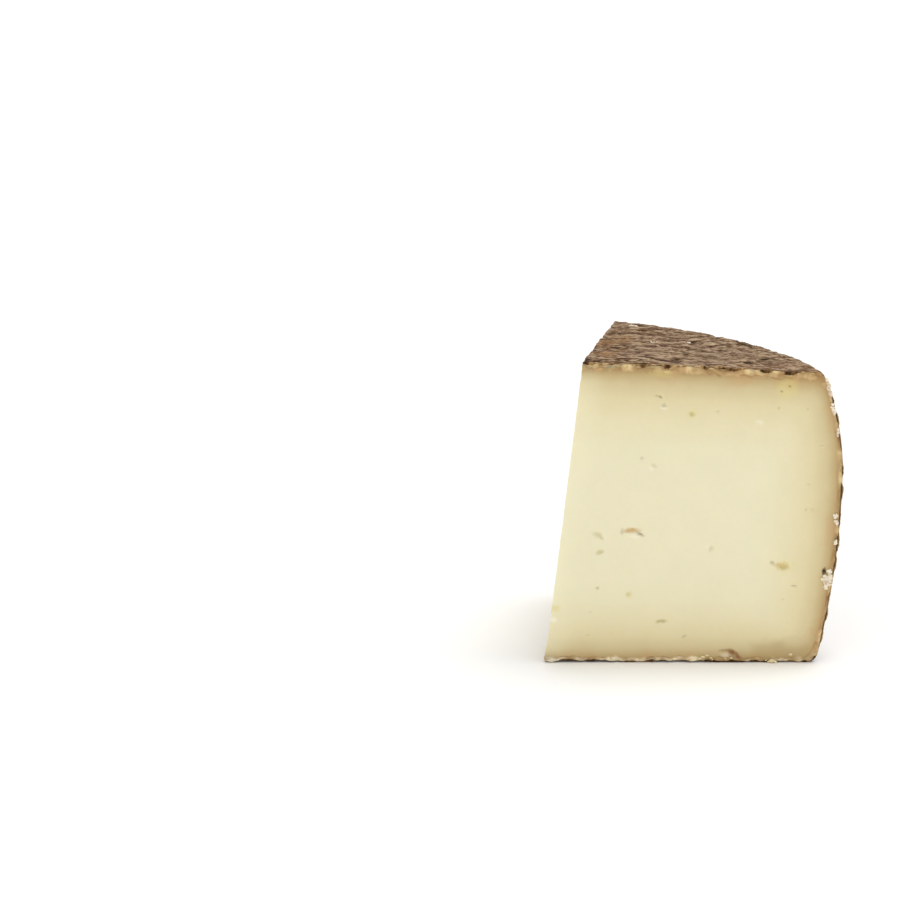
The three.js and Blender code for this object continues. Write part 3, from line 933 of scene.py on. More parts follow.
@dataclass
class Paste:
    """The pale body of the cheese, with its two cut faces."""

    wedge: Wedge
    row: Row
    crumble: Crumble
    noise: Noise
    # Grid
    rows: int = 205
    columns: int = 190
    crowding: float = 0.35
    edge_turns: tuple[float, ...] = (0.0, 0.006, 0.016, 0.036)
    inner_turns: tuple[float, float, int] = (0.08, 0.92, 11)
    least_z: float = 0.03
    # How deep it lies under the rind
    sunk: float = 1.9
    edge_sunk: float = 0.55
    lip_sunk: float = 0.16
    sink_steps: Band = (0.3, 0.7)
    # Knife waves and grain
    wave_depth: float = 0.14
    wave_span: float = 26.0
    grain_depth: float = 0.035
    grain_spans: Band = (2.4, 1.7)
    # Lumps, lips and chips by the rind
    lump_depth: float = 0.42
    lumps: Spans = (2.1, 1.5, 7.0)
    lump_fade: Band = (2.4, 0.2)
    lip_out: float = 0.45
    lip_fade: Band = (1.9, 0.3)
    lip_inside: Band = (0.7, -0.1)
    chip_depth: float = 0.7
    chips: Spans = (3.4, 3.0, 11.0)
    chip_rise: Band = (0.15, 0.6)
    chip_fade: Band = (1.7, 0.0)
    edge_round: float = 0.3
    round_fade: Band = (0.8, 0.0)
    # Eyes and torn pockets
    eye_outline: Spans = (1.1, 1.1, 19.0)
    eye_ragged: float = 0.2
    brow: tuple[float, float, float] = (0.05, 1.2, 0.22)
    pocket_outline: Spans = (1.3, 1.3, 31.0)
    pocket_ragged: float = 0.25
    # Cracks
    crack_depth: float = 0.3
    crack_width: float = 0.24
    crack_place: float = 1.25
    crack_foot: float = 1.5
    crack_swings: Band = (0.9, 0.4)
    crack_sway: Spans = (3.2, 9.0, 43.0)
    crack_shake: Spans = (1.3, 5.0, 47.0)
    crack_spots: Spans = (5.0, 5.0, 53.0)
    crack_start: Band = (-0.35, 0.0)
    crack_rise: Band = (0.0, 0.3)
    foot_zone: Band = (0.0, 6.0)
    # The tip's edge
    tip_reach: float = 1.6
    tip_wander: float = 0.12
    tip_spans: Spans = (3.1, 11.0, 5.0)
    # Span over which the painted glow of light through the thin tip edge fades out
    glow_span: float = 40.0
    # Outlines of the stains
    fine_stain: Spans = (0.9, 0.9, 23.0)
    fine_ragged: float = 0.42
    broad_stain: Spans = (4.0, 4.0, 29.0)
    broad_ragged: float = 0.3
    broad_height: float = 3.2
    stain_fade: Band = (1.5, 0.3)

    def skin(self) -> Skin:
        """The wheel's surface, sampled as the body under the rind needs, with columns close to the cuts."""
        near = np.array(self.edge_turns)
        turns = np.concatenate([near, np.linspace(*self.inner_turns), 1.0 - near[::-1]])
        across = crowded(self.columns, self.crowding)
        return Skin(self.wedge, across, crowded(self.rows, self.crowding), across, turns)

    def covered(self, skin: Skin) -> Array:
        """The surface under the rind: the skin sunk along its normal, less so at the cuts and lips."""
        sunk = np.full(skin.points.shape[:2], self.sunk)
        for edge, step in ((0, 1), (-1, -1)):
            lip = self.crumble.lip(skin.points[:, edge])
            at_edge = mix(self.edge_sunk, self.lip_sunk, lip)
            sunk[:, edge] = at_edge
            for away, share in enumerate(self.sink_steps, 1):
                sunk[:, edge + away * step] = mix(at_edge, self.sunk, share)
        under = skin.points - sunk[..., None] * skin.normals
        under[..., 2] = np.maximum(under[..., 2], sunk)
        return under

    def face(self, edge: Array) -> Array:
        """Fills a cut's outline with a Coons patch.

        A point is the blend of the top and base edges, plus that of the tip and rim edges, less the blend
        of the four corners.

        Args:
            edge: Points from the tip's top over the rim to the tip's base.

        Returns:
            Rows from top to base, columns from tip to rim.
        """
        n, m = self.columns, self.rows
        top, rim, base = edge[:n], edge[n - 1 : n + m - 1], edge[n + m - 2 :][::-1]
        u = crowded(n, self.crowding)[None, :, None]
        v = crowded(m, self.crowding)[:, None, None]
        tip = top[0] + v[:, 0] * (base[0] - top[0])
        across = (1 - v) * top[None] + v * base[None]
        down = (1 - u) * tip[:, None] + u * rim[:, None]
        corners = (1 - v) * mix(top[0], top[-1], u) + v * mix(base[0], base[-1], u)
        return across + down - corners

    def relief(self, points: Array, along: Array, depth: Array, eyes: tuple[Eye, ...]) -> Array:
        """How far a cut stands out: knife waves + grain + lumps, lips and chips by the rind - eyes.

        Args:
            points: Places on the true cut.
            along: Their distance along the cut.
            depth: Their depth under the rind.
            eyes: Openings of this cut.

        Returns:
            Height over the true cut, in millimetres.
        """
        noise = self.noise
        z = points[..., 2]
        out = self.wave_depth * noise.at(points, self.wave_span)
        across, up = self.grain_spans
        out += self.grain_depth * noise.layered(along / across, z / up, points[..., 1])
        near = smoothstep(*self.lump_fade, depth)
        out += self.lump_depth * near * noise.layered_over(along, z, self.lumps)
        out += self.lip_out * smoothstep(*self.lip_fade, depth) * self.crumble.lip(points)
        chips = smoothstep(*self.chip_rise, noise.over(along, z, self.chips))
        out -= self.chip_depth * chips * smoothstep(*self.chip_fade, depth)
        out -= self.edge_round * smoothstep(*self.round_fade, depth)
        out -= self.crack_depth * self.cracks(along, z, depth)
        ragged = self.eye_ragged * noise.layered_over(along, z, self.eye_outline)
        rise, place, width = self.brow
        for eye in eyes:
            reach = eye.reach(along, z) + ragged
            out += rise * bell((reach - place) / width)
            out -= eye.depth * bowl(reach)
        return out

    def crack_line(self, along: Array, z: Array) -> Array:
        """Depth of the wavy line at which crumbling lips part from the paste, deeper by the base."""
        wide, small = self.crack_swings
        line = self.crack_place + wide * self.noise.over(along, z, self.crack_sway)
        line = line + small * self.noise.over(along, z, self.crack_shake)
        return line * mix(self.crack_foot, 1.0, smoothstep(*self.foot_zone, z))

    def cracks(self, along: Array, z: Array, depth: Array) -> Array:
        """Cracks along that line: the bell of (depth - line) / width in places, most often by the base."""
        start = mix(*self.crack_start, smoothstep(*self.foot_zone, z))
        places = smoothstep(*self.crack_rise, self.noise.over(along, z, self.crack_spots) - start)
        return places * bell((depth - self.crack_line(along, z)) / self.crack_width)

    def torn(self, points: Array) -> Array:
        """Depth of the torn pockets of the front cut, each half an ellipsoid with a ragged outline."""
        x, z = points[..., 0], points[..., 2]
        ragged = self.pocket_ragged * self.noise.layered_over(x, z, self.pocket_outline)
        out = np.zeros(x.shape)
        for p in TORN_POCKETS:
            reach = np.hypot(2 * (x - p.x) / p.width, 2 * (z - p.z) / p.height) + ragged
            out = np.maximum(out, p.depth * bowl(reach))
        return out

    def raised(self, face: Array, out: Array, outward: Array) -> Array:
        """Moves a cut's grid by its relief. At the tip both cuts move alike, along their mitre."""
        front, back = self.wedge.front_outward(), self.wedge.back_outward()
        mitre = (front + back) / (1.0 + front @ back)
        share = smoothstep(0.0, self.tip_reach, self.wedge.tip_distance(face))[..., None]
        wander = self.tip_wander * self.noise.over(face[..., 2], face[..., 2], self.tip_spans)
        share[:, 0] = 0.0
        moved = face + mix(wander[..., None] * mitre, out[..., None] * outward, share)
        moved[..., 2] = np.maximum(moved[..., 2], self.least_z)
        return moved

    def stains(self, along: Array, z: Array, marks: tuple[Eye, ...]) -> tuple[Array, Array]:
        """Colour of the marks at each point of a cut, and how strongly it shows.

        Args:
            along: Distance along the cut.
            z: Height.
            marks: Eyes and stains, of which a later one covers an earlier one.

        Returns:
            The linear colour and the strength from 0 to 1.
        """
        colour = np.ones(along.shape + (3,)) * linear(Tint.PALE.value)
        strength = np.zeros(along.shape)
        fine = self.fine_ragged * self.noise.layered_over(along, z, self.fine_stain)
        broad = self.broad_ragged * self.noise.over(along, z, self.broad_stain)
        for mark in marks:
            ragged = broad if mark.height > self.broad_height else fine
            share = mark.strength * smoothstep(*self.stain_fade, mark.reach(along, z) + ragged)
            strength = share + strength * (1.0 - share)
            cover = share / np.maximum(strength, 1e-6)
            colour = mix(colour, np.array(linear(mark.tint.value)), cover[..., None])
        return colour, strength

    def cut(self, face: Array, is_front: bool) -> tuple[Array, dict[str, Array]]:
        """Roughens a cut and works out its attributes.

        Args:
            face: Grid on the true cut.
            is_front: Whether it is the front cut.

        Returns:
            The moved grid and the attributes by name.
        """
        wedge = self.wedge
        depth = wedge.rind_depth(face)
        if is_front:
            along, outward = face[..., 0], wedge.front_outward()
            eyes, marks = FRONT_EYES, FRONT_EYES + FRONT_STAINS
        else:
            along, outward = wedge.tip_distance(face), wedge.back_outward()
            eyes = marks = BackEyes().draw(wedge.wheel)
        out = self.relief(face, along, depth, eyes)
        if is_front:
            out -= self.torn(face)
        colour, strength = self.stains(along, face[..., 2], marks)
        inside = depth - self.crack_line(along, face[..., 2])
        lip = np.clip(self.crumble.lip(face) - self.crumble.bare(face), 0.0, 1.0)
        values = {
            "depth": depth,
            "lip": lip * smoothstep(*self.lip_inside, inside),
            # from_tip: distance from the tip edge, which sets the painted glow there
            "from_tip": np.clip(wedge.tip_distance(face) / self.glow_span, 0.0, 1.0),
            "stain": colour,
            "stained": strength,
            # crack: where the cracks run, which the paste finish darkens as painted shade
            "crack": self.cracks(along, face[..., 2], depth),
        }
        return self.raised(face, out, outward), values

    def build(self) -> bpy.types.Object:
        """Makes the closed body: front cut, back cut and the surface under the rind between them."""
        under = self.covered(self.skin())
        wedge = self.wedge
        front_edge = under[:, 0].copy()
        back_edge = under[:, -1].copy()
        front_edge[:, 1] = wedge.front_y
        back_edge += wedge.back_depth(back_edge)[:, None] * wedge.back_outward()
        for end in (0, -1):
            z = front_edge[end, 2]
            tip = np.array([wedge.tip_x(z), wedge.front_y, z])
            front_edge[end] = tip
            back_edge[end] = tip
        front, front_values = self.cut(self.face(front_edge), True)
        back, back_values = self.cut(self.face(back_edge), False)
        back[:, 0] = front[:, 0]

        n, m = self.columns, self.rows
        for edge, face in ((0, front), (-1, back)):
            under[:n, edge] = face[0]
            under[n - 1 : n + m - 1, edge] = face[:, -1]
            under[n + m - 2 :, edge] = face[-1, ::-1]
        under[0] = front[0, 0]
        under[-1] = front[-1, 0]
        shape = under.shape[:2]
        dry = {
            "depth": np.zeros(shape),
            "lip": np.full(shape, 0.5),
            "from_tip": np.ones(shape),
            "stain": np.ones(shape + (3,)),
            "stained": np.zeros(shape),
            "crack": np.zeros(shape),
        }
        work = Patchwork(self.row)
        work.grid(front, front_values)
        work.grid(back[:, ::-1], {key: value[:, ::-1] for key, value in back_values.items()})
        work.grid(under[:, ::-1], {key: value[:, ::-1] for key, value in dry.items()})
        return work.build("paste")


# The rind


@dataclass(frozen=True)
class Patch:
    """A coloured place on the top: middle, length and width along x and y, and strength."""

    x: float
    y: float
    length: float
    width: float
    strength: float


SOOT = (
    Patch(11.2, 3.6, 4.4, 7.5, 0.9),
    Patch(44.9, 20.3, 2.0, 3.0, 1.0),
    Patch(30.8, 13.8, 2.6, 3.0, 0.8),
    Patch(23.5, 25.5, 4.0, 2.8, 0.6),
    Patch(29.3, 21.7, 3.0, 2.6, 0.6),
    Patch(67.5, 45.2, 3.4, 4.0, 0.8),
    Patch(39.0, 34.5, 3.4, 3.0, 0.5),
    Patch(47.7, 32.6, 3.6, 3.0, 0.5),
    Patch(18.1, 24.5, 3.0, 2.6, 0.5),
)

RUSTY = (
    Patch(20.1, 34.1, 14.0, 24.0, 0.9),
    Patch(16.1, 17.1, 12.0, 16.0, 0.8),
    Patch(26.8, 49.1, 14.0, 20.0, 0.6),
    Patch(84.0, 10.0, 16.0, 14.0, 0.7),
    Patch(66.0, 6.0, 14.0, 8.0, 0.5),
)


def patched(points: Array, patches: tuple[Patch, ...]) -> Array:
    """Sum of the patches' strengths, each times exp(-4 d^2) at d lengths or widths from its middle."""
    total = np.zeros(points.shape[:-1])
    for patch in patches:
        dx = (points[..., 0] - patch.x) / patch.length
        dy = (points[..., 1] - patch.y) / patch.width
        total += patch.strength * np.exp(-4.0 * (dx**2 + dy**2))
    return total


@dataclass
class Rind:
    """The dry outer skin, as three shells over the top, the rim and the base."""

    wedge: Wedge
    row: Row
    crumble: Crumble
    noise: Noise
    # Grid
    top_rows: int = 280
    rim_rows: int = 205
    base_rows: int = 95
    columns: int = 300
    crowding: float = 0.2
    inner_columns: int = 6
    inner_depth: float = 2.4
    inner_tip: Band = (0.5, 7.0)
    inner_least: float = 0.6
    # All over
    broad_depth: float = 0.35
    broad_span: float = 26.0
    edge_reach: float = 2.6
    edge_hold: float = 0.55
    edge_least: float = -0.08
    crown_rise: Band = (0.3, 0.8)
    level_rise: Band = (0.2, 0.7)
    crest_heights: Band = (0.8, 0.4)
    # Top
    ridge_depth: float = 0.3
    ridges: Spans = (9.0, 2.9, 3.0)
    strand_depth: float = 0.24
    strands: Spans = (3.3, 1.4, 4.0)
    pit_depth: float = 0.5
    pit_share: float = 0.8
    pits: Spans = (3.0, 1.6, 5.0)
    pit_rise: Band = (0.42, 0.66)
    sway_reach: float = 2.0
    sway: Spans = (17.0, 16.0, 1.0)
    splay_share: float = 0.05
    splay: Spans = (40.0, 24.0, 2.0)
    fibre_share: float = 0.42
    rust_mean: float = 0.5
    rust_spots: Layers = ((1.2, 5.0, 61.0),)
    # Rim
    plait_band: float = 12.5
    plait_pitch: float = 8.5
    plait_slant: float = 0.75
    plait_depth: float = 0.7
    plait_sunk: float = 0.1
    plait_seam: float = 0.6
    seam_depth: float = 0.25
    seam_rise: Band = (0.35, 0.0)
    band_shift: float = 0.12
    band_sway: Spans = (21.0, 19.0, 7.0)
    rim_sway_reach: float = 1.5
    rim_sway: Spans = (17.0, 13.0, 6.0)
    fibre_depth: float = 0.14
    fibres: Spans = (1.5, 6.0, 8.0)
    fine_depth: float = 0.06
    fine_fibres: Spans = (0.8, 3.4, 9.0)
    rim_fibre_share: float = 0.3
    # Base
    base_depth: float = 0.12
    base_grain: Spans = (5.0, 1.6, 12.0)
    base_pits: float = 1.6
    base_sunk: float = 0.1
    # Where it shows at a cut
    wall_steps: tuple[float, ...] = (0.1, 0.26, 0.44, 0.62, 0.82, 1.0)
    wall_share: float = 0.001
    wall_extra: float = 0.2
    wall_proud: float = 0.16
    wall_by_lip: float = 1.8
    wall_by_mark: float = 0.2
    most_by_mark: float = 0.3
    wall_lumps: Layers = ((0.5, 1.3, 41.0),)
    wall_stretch: float = 3.0
    wall_rise: Band = (0.0, 0.3)
    wall_sink: float = 0.7
    wall_fall: Band = (0.6, 1.0)
    soot_by_mark: float = 0.6
    notch: float = 0.8
    rim_notch: float = 0.25
    notch_reach: float = 2.2
    notch_tip: float = 4.0
    tip_reach: float = 1.3

    def top_relief(self, points: Array) -> tuple[Array, Array]:
        """Fibrous ridges along x: crests of two spans, longer along x and swayed by a slow wave.

        Returns:
            The height, and the places along and across the fibres.
        """
        x, y = points[..., 0], points[..., 1]
        noise = self.noise
        swayed = y + self.sway_reach * noise.over(x, y, self.sway)
        swayed = swayed + self.splay_share * x * noise.over(x, y, self.splay)
        pits = self.pit_share * smoothstep(*self.pit_rise, noise.over(x, swayed, self.pits))
        height = self.ridge_depth * crests(noise.over(x, swayed, self.ridges))
        height += self.strand_depth * crests(noise.over(x, swayed, self.strands))
        height -= self.pit_depth * (pits + patched(points, SOOT))
        return height, np.stack([self.fibre_share * x, swayed, points[..., 2]], axis=-1)

    def rim_relief(self, points: Array) -> tuple[Array, Array]:
        """Plaited bands: strands that slant one way in one band and back in the next.

        The strand is a cosine of the place along the rim plus the slant times the zigzag height, and it
        fades towards the seams between the bands. Fibres follow the strands.

        Returns:
            The height, and the places along and across the fibres.
        """
        x, y, z = points[..., 0], points[..., 1], points[..., 2]
        noise = self.noise
        along = np.arctan2(y, x) * self.wedge.wheel.radius
        along = along + self.rim_sway_reach * noise.over(along, z, self.rim_sway)
        band = z / self.plait_band + self.band_shift * noise.over(along, z, self.band_sway)
        zigzag = 2.0 * np.abs(band / 2.0 - np.round(band / 2.0)) * self.plait_band
        across = along + self.plait_slant * zigzag
        seam = np.abs(np.sin(np.pi * band))
        fade = smoothstep(0.0, self.plait_seam, seam)
        plait = 0.5 * np.cos(2.0 * np.pi * across / self.plait_pitch) * fade
        height = self.plait_depth * (plait - self.plait_sunk)
        height += self.fibre_depth * crests(noise.over(across, z, self.fibres))
        height += self.fine_depth * crests(noise.over(across, z, self.fine_fibres))
        height -= self.seam_depth * smoothstep(*self.seam_rise, seam)
        return height, np.stack([z, across, self.rim_fibre_share * along], axis=-1)

    def surface(self) -> tuple[Skin, Array, Array, Array]:
        """The roughened outer surface.

        Top and rim pass into each other as the normal turns up. The base is only pitted, so that it rests
        on its true plane.

        Returns:
            The true skin, the moved points, how high each lies on the relief, and the fibre places.
        """
        rows = [crowded(n, self.crowding) for n in (self.top_rows, self.rim_rows, self.base_rows)]
        skin = Skin(self.wedge, *rows, crowded(self.columns, self.crowding))
        points, normals = skin.points, skin.normals
        crown = smoothstep(*self.crown_rise, normals[..., 2])
        sole = smoothstep(*self.crown_rise, -normals[..., 2])
        flat = np.maximum(crown, sole)
        top, top_fibre = self.top_relief(points)
        rim, rim_fibre = self.rim_relief(points)
        grain = self.noise.layered_over(points[..., 0], points[..., 1], self.base_grain)
        worn = self.base_depth * (np.minimum(grain, 0.0) * self.base_pits - self.base_sunk)
        height = mix(mix(rim, top, crown), worn, sole)
        broad = self.broad_depth * self.noise.at(points, self.broad_span)
        lift = height + broad * smoothstep(0.0, self.broad_span, points[..., 2]) * (1.0 - sole)
        ends = (points[:, :1], points[:, -1:])
        away = np.minimum(*(np.linalg.norm(points - end, axis=-1) for end in ends))
        share = np.maximum(1.0 - crown, self.edge_hold)
        whole = mix(1.0, smoothstep(0.0, self.edge_reach, away), share)
        lift = mix(np.maximum(lift, self.edge_least), lift, whole)
        moved = points + lift[..., None] * normals
        # crest: height on the relief, which the rind finish turns into painted shade in furrows and a
        # painted highlight on crests
        crest = height / mix(*self.crest_heights, flat)
        fibre = np.where(flat[..., None] > 0.5, top_fibre, rim_fibre)
        return skin, self.notched(skin, moved), crest, fibre

    def notched(self, skin: Skin, moved: Array) -> Array:
        """Draws the surface back from the cuts where pale lips stand, and closes both ends on the tip.

        On the rim it is drawn back less than on the top and the base.
        """
        wedge = self.wedge
        whole = smoothstep(0.0, self.notch_tip, wedge.tip_distance(skin.points))
        for edge, outward in ((0, wedge.front_outward()), (-1, wedge.back_outward())):
            lip = self.crumble.lip(skin.points[:, edge])[:, None]
            level = smoothstep(*self.level_rise, np.abs(skin.normals[:, edge, 2]))[:, None]
            depth = (skin.points[:, edge][:, None] - skin.points) @ outward
            notch = mix(self.rim_notch, self.notch, level)
            back = notch * lip * smoothstep(self.notch_reach, 0.0, depth) * whole
            moved = moved - back[..., None] * outward
        for end in (0, -1):
            moved[end] = moved[end].mean(axis=0)
        moved[..., 2] = np.maximum(moved[..., 2], 0.0)
        return moved

    def cut_wall(self, skin: Skin, moved: Array, edge: int, outward: Array) -> Array:
        """The rind's own thickness where it shows at a cut.

        It stands a little proud of the paste, then turns in under it. For a share t of its depth, a point
        is edge - t depth (normal in the cut) + (proud rise - sink at the end) outward.

        Args:
            skin: The true skin.
            moved: The roughened one.
            edge: Column of this cut.
            outward: Normal of the cut.

        Returns:
            Rows of points from the edge inwards.
        """
        true, normal = skin.points[:, edge], skin.normals[:, edge]
        inner = unit(normal - (normal @ outward)[:, None] * outward)
        depth = self.crumble.wall(true, normal[:, 2])[:, None]
        lip = self.crumble.lip(true)[:, None]
        bulge = self.crumble.marked(true, "rind")[:, None]
        t = np.array(self.wall_steps)[None, :]
        lumps = self.noise.blend(true[:, None] + self.wall_stretch * t[..., None], self.wall_lumps)
        proud = self.wall_proud * (1.0 - self.wall_by_lip * lip)
        proud = proud + np.minimum(self.wall_by_mark * bulge, self.most_by_mark)
        out = proud * smoothstep(*self.wall_rise, t) * (1.0 + lumps)
        out -= self.wall_sink * smoothstep(*self.wall_fall, t)
        down = moved[:, edge][:, None] - (t * (depth + self.wall_extra))[..., None] * inner[:, None]
        return down + out[..., None] * outward

    def rings(self) -> tuple[Array, dict[str, Array], tuple[int, int]]:
        """Closed rings: outer surface, back wall, inner surface and front wall, for every row.

        Returns:
            The points, their attributes and the rows where top, rim and base meet.
        """
        skin, moved, crest, fibre = self.surface()
        wedge = self.wedge
        front = self.cut_wall(skin, moved, 0, wedge.front_outward())
        back = self.cut_wall(skin, moved, -1, wedge.back_outward())
        whole = smoothstep(0.0, self.tip_reach, wedge.tip_distance(skin.points[:, 0]))[:, None, None]
        middle = (front + back) / 2.0
        front, back = mix(middle, front, whole), mix(middle, back, whole)
        for part in (front, back):
            part[..., 2] = np.maximum(part[..., 2], 0.0)
        deep = skin.points - self.inner_depth * skin.normals
        picks = np.linspace(0, self.columns - 1, self.inner_columns + 2).astype(int)[1:-1]
        far = smoothstep(*self.inner_tip, wedge.tip_distance(skin.points[:, picks]))[..., None]
        inner = mix(middle[:, -1:], deep[:, picks], far)
        inner[..., 2] = np.maximum(inner[..., 2], self.inner_least)
        for end in (0, -1):
            inner[end] = middle[end, -1]
        points = np.concatenate([moved, back, inner[:, ::-1], front[:, ::-1], moved[:, :1]], axis=1)
        return points, self.ring_values(skin, crest, fibre), skin.seams

    def ring_values(self, skin: Skin, crest: Array, fibre: Array) -> dict[str, Array]:
        """Attributes of the rings: how deep in a cut they lie, how dark, how high, how rusty, and fibres.

        Args:
            skin: The true skin.
            crest: How high each of its points lies on the relief.
            fibre: Their places along and across the fibres.

        Returns:
            The attributes by name, for every column of the rings.
        """
        rows, wall = len(skin.points), len(self.wall_steps)
        shown = np.broadcast_to(np.array(self.wall_steps)[None, :], (rows, wall))
        hidden = np.ones((rows, self.inner_columns))
        surface = np.zeros(crest.shape)
        cut = [surface, shown, hidden, shown[:, ::-1], surface[:, :1]]
        lift = skin.normals[..., 2]
        dark = [self.crumble.dark(skin.points[:, edge], lift[:, edge])[:, None] for edge in (0, -1)]
        over = smoothstep(*self.level_rise, lift)
        edges = self.soot_by_mark * self.crumble.marked(skin.points, "rind")
        soot = np.clip(over * (patched(skin.points, SOOT) + edges), 0.0, 1.0)
        sections = [soot, dark[1] + 0.0 * shown, 0.0 * hidden, dark[0] + 0.0 * shown, soot[:, :1]]
        values = {"cut": np.concatenate(cut, axis=1), "dark": np.concatenate(sections, axis=1)}
        loose = self.rust_mean + self.noise.blend(skin.points, self.rust_spots)
        rusty = np.clip(over * patched(skin.points, RUSTY) * loose, 0.0, 1.0)
        spread = {"crest": crest[..., None], "fibre": fibre, "rusty": rusty[..., None]}
        for key, value in spread.items():
            last = np.repeat(value[:, -1:], wall + self.inner_columns, axis=1)
            first = np.repeat(value[:, :1], wall + 1, axis=1)
            values[key] = np.concatenate([value, last, first], axis=1)
        return values

    def cap(self, ring: Array, is_last: bool) -> Array:
        """Triangles that close a ring between its outer columns and the chain of walls and inner columns.

        Both chains run from the front cut to the back cut. Each step of one makes a triangle with the point
        that the other chain has reached by then.

        Args:
            ring: Points of the ring without its repeated first one.
            is_last: Whether the ring is the last row of its shell.

        Returns:
            The triangles, as numbers within the ring.
        """
        outer = np.arange(self.columns)
        chain = np.arange(len(ring) - 1, self.columns - 1, -1)
        u = np.linspace(0.0, 1.0, self.columns)
        start = np.linspace(0.0, self.wall_share, len(self.wall_steps))
        middle = np.linspace(0.0, 1.0, self.inner_columns + 2)[1:-1]
        v = np.concatenate([start, middle, 1.0 - start[::-1]])
        reached = np.clip(np.searchsorted(v, u[1:], "left") - 1, 0, len(v) - 1)
        along_outer = np.stack([outer[:-1], outer[1:], chain[reached]], axis=1)
        reached = np.clip(np.searchsorted(u, v[1:], "right") - 1, 0, len(u) - 1)
        along_chain = np.stack([chain[1:], chain[:-1], outer[reached]], axis=1)
        faces = np.concatenate([along_outer, along_chain])
        return faces if is_last else faces[:, ::-1]

    def build(self) -> list[bpy.types.Object]:
        """Makes the shells of the top, the rim and the base."""
        points, values, (shoulder, foot) = self.rings()
        last = len(points) - 1
        spans = {
            "rind_top": (0, shoulder),
            "rind_rim": (shoulder, foot),
            "rind_base": (foot, last),
        }
        made = []
        for name, (start, end) in spans.items():
            work = Patchwork(self.row)
            part = slice(start, end + 1)
            work.grid(points[part], {key: value[part] for key, value in values.items()})
            for row, is_last in ((start, False), (end, True)):
                if row in (0, last):
                    continue
                ring = points[row, :-1]
                ring_values = {key: value[row, :-1] for key, value in values.items()}
                work.add(ring, self.cap(ring, is_last), ring_values)
            made.append(work.build(name))
        return made


# Loose lumps


@dataclass(frozen=True)
class Lump:
    """A crumb or a tuft: middle, and full length, width and height."""

    x: float
    y: float
    z: float
    length: float
    width: float
    height: float


@dataclass
class Lumps:
    """Small uneven pebbles, joined into one piece."""

    row: Row
    noise: Noise
    name: str
    rough: float = 0.32
    pitch: float = 2.6
    apart: float = 13.7

    def ball(self) -> tuple[Array, Array]:
        """Vertices of a ball of diameter one, and its triangles."""
        shape = bmesh.new()
        bmesh.ops.create_icosphere(shape, subdivisions=2, radius=0.5)
        points = np.array([vertex.co[:] for vertex in shape.verts])
        faces = np.array([[vertex.index for vertex in face.verts] for face in shape.faces])
        shape.free()
        return points, faces

    def build(self, lumps: list[Lump]) -> bpy.types.Object:
        """Stretches the ball to each lump's size and pushes its surface in and out by noise."""
        ball, faces = self.ball()
        points, triangles = [], []
        for i, lump in enumerate(lumps):
            bumps = 1.0 + self.rough * self.noise.layered(*(self.pitch * ball.T + self.apart * i))
            size = np.array([lump.length, lump.width, lump.height])
            points.append(ball * bumps[:, None] * size + np.array([lump.x, lump.y, lump.z]))
            triangles.append(faces + i * len(ball))
        everything = np.concatenate(points)
        everything[:, 2] = np.maximum(everything[:, 2], 0.0)
        return make_piece(self.name, self.row.metres(everything), np.concatenate(triangles), {})


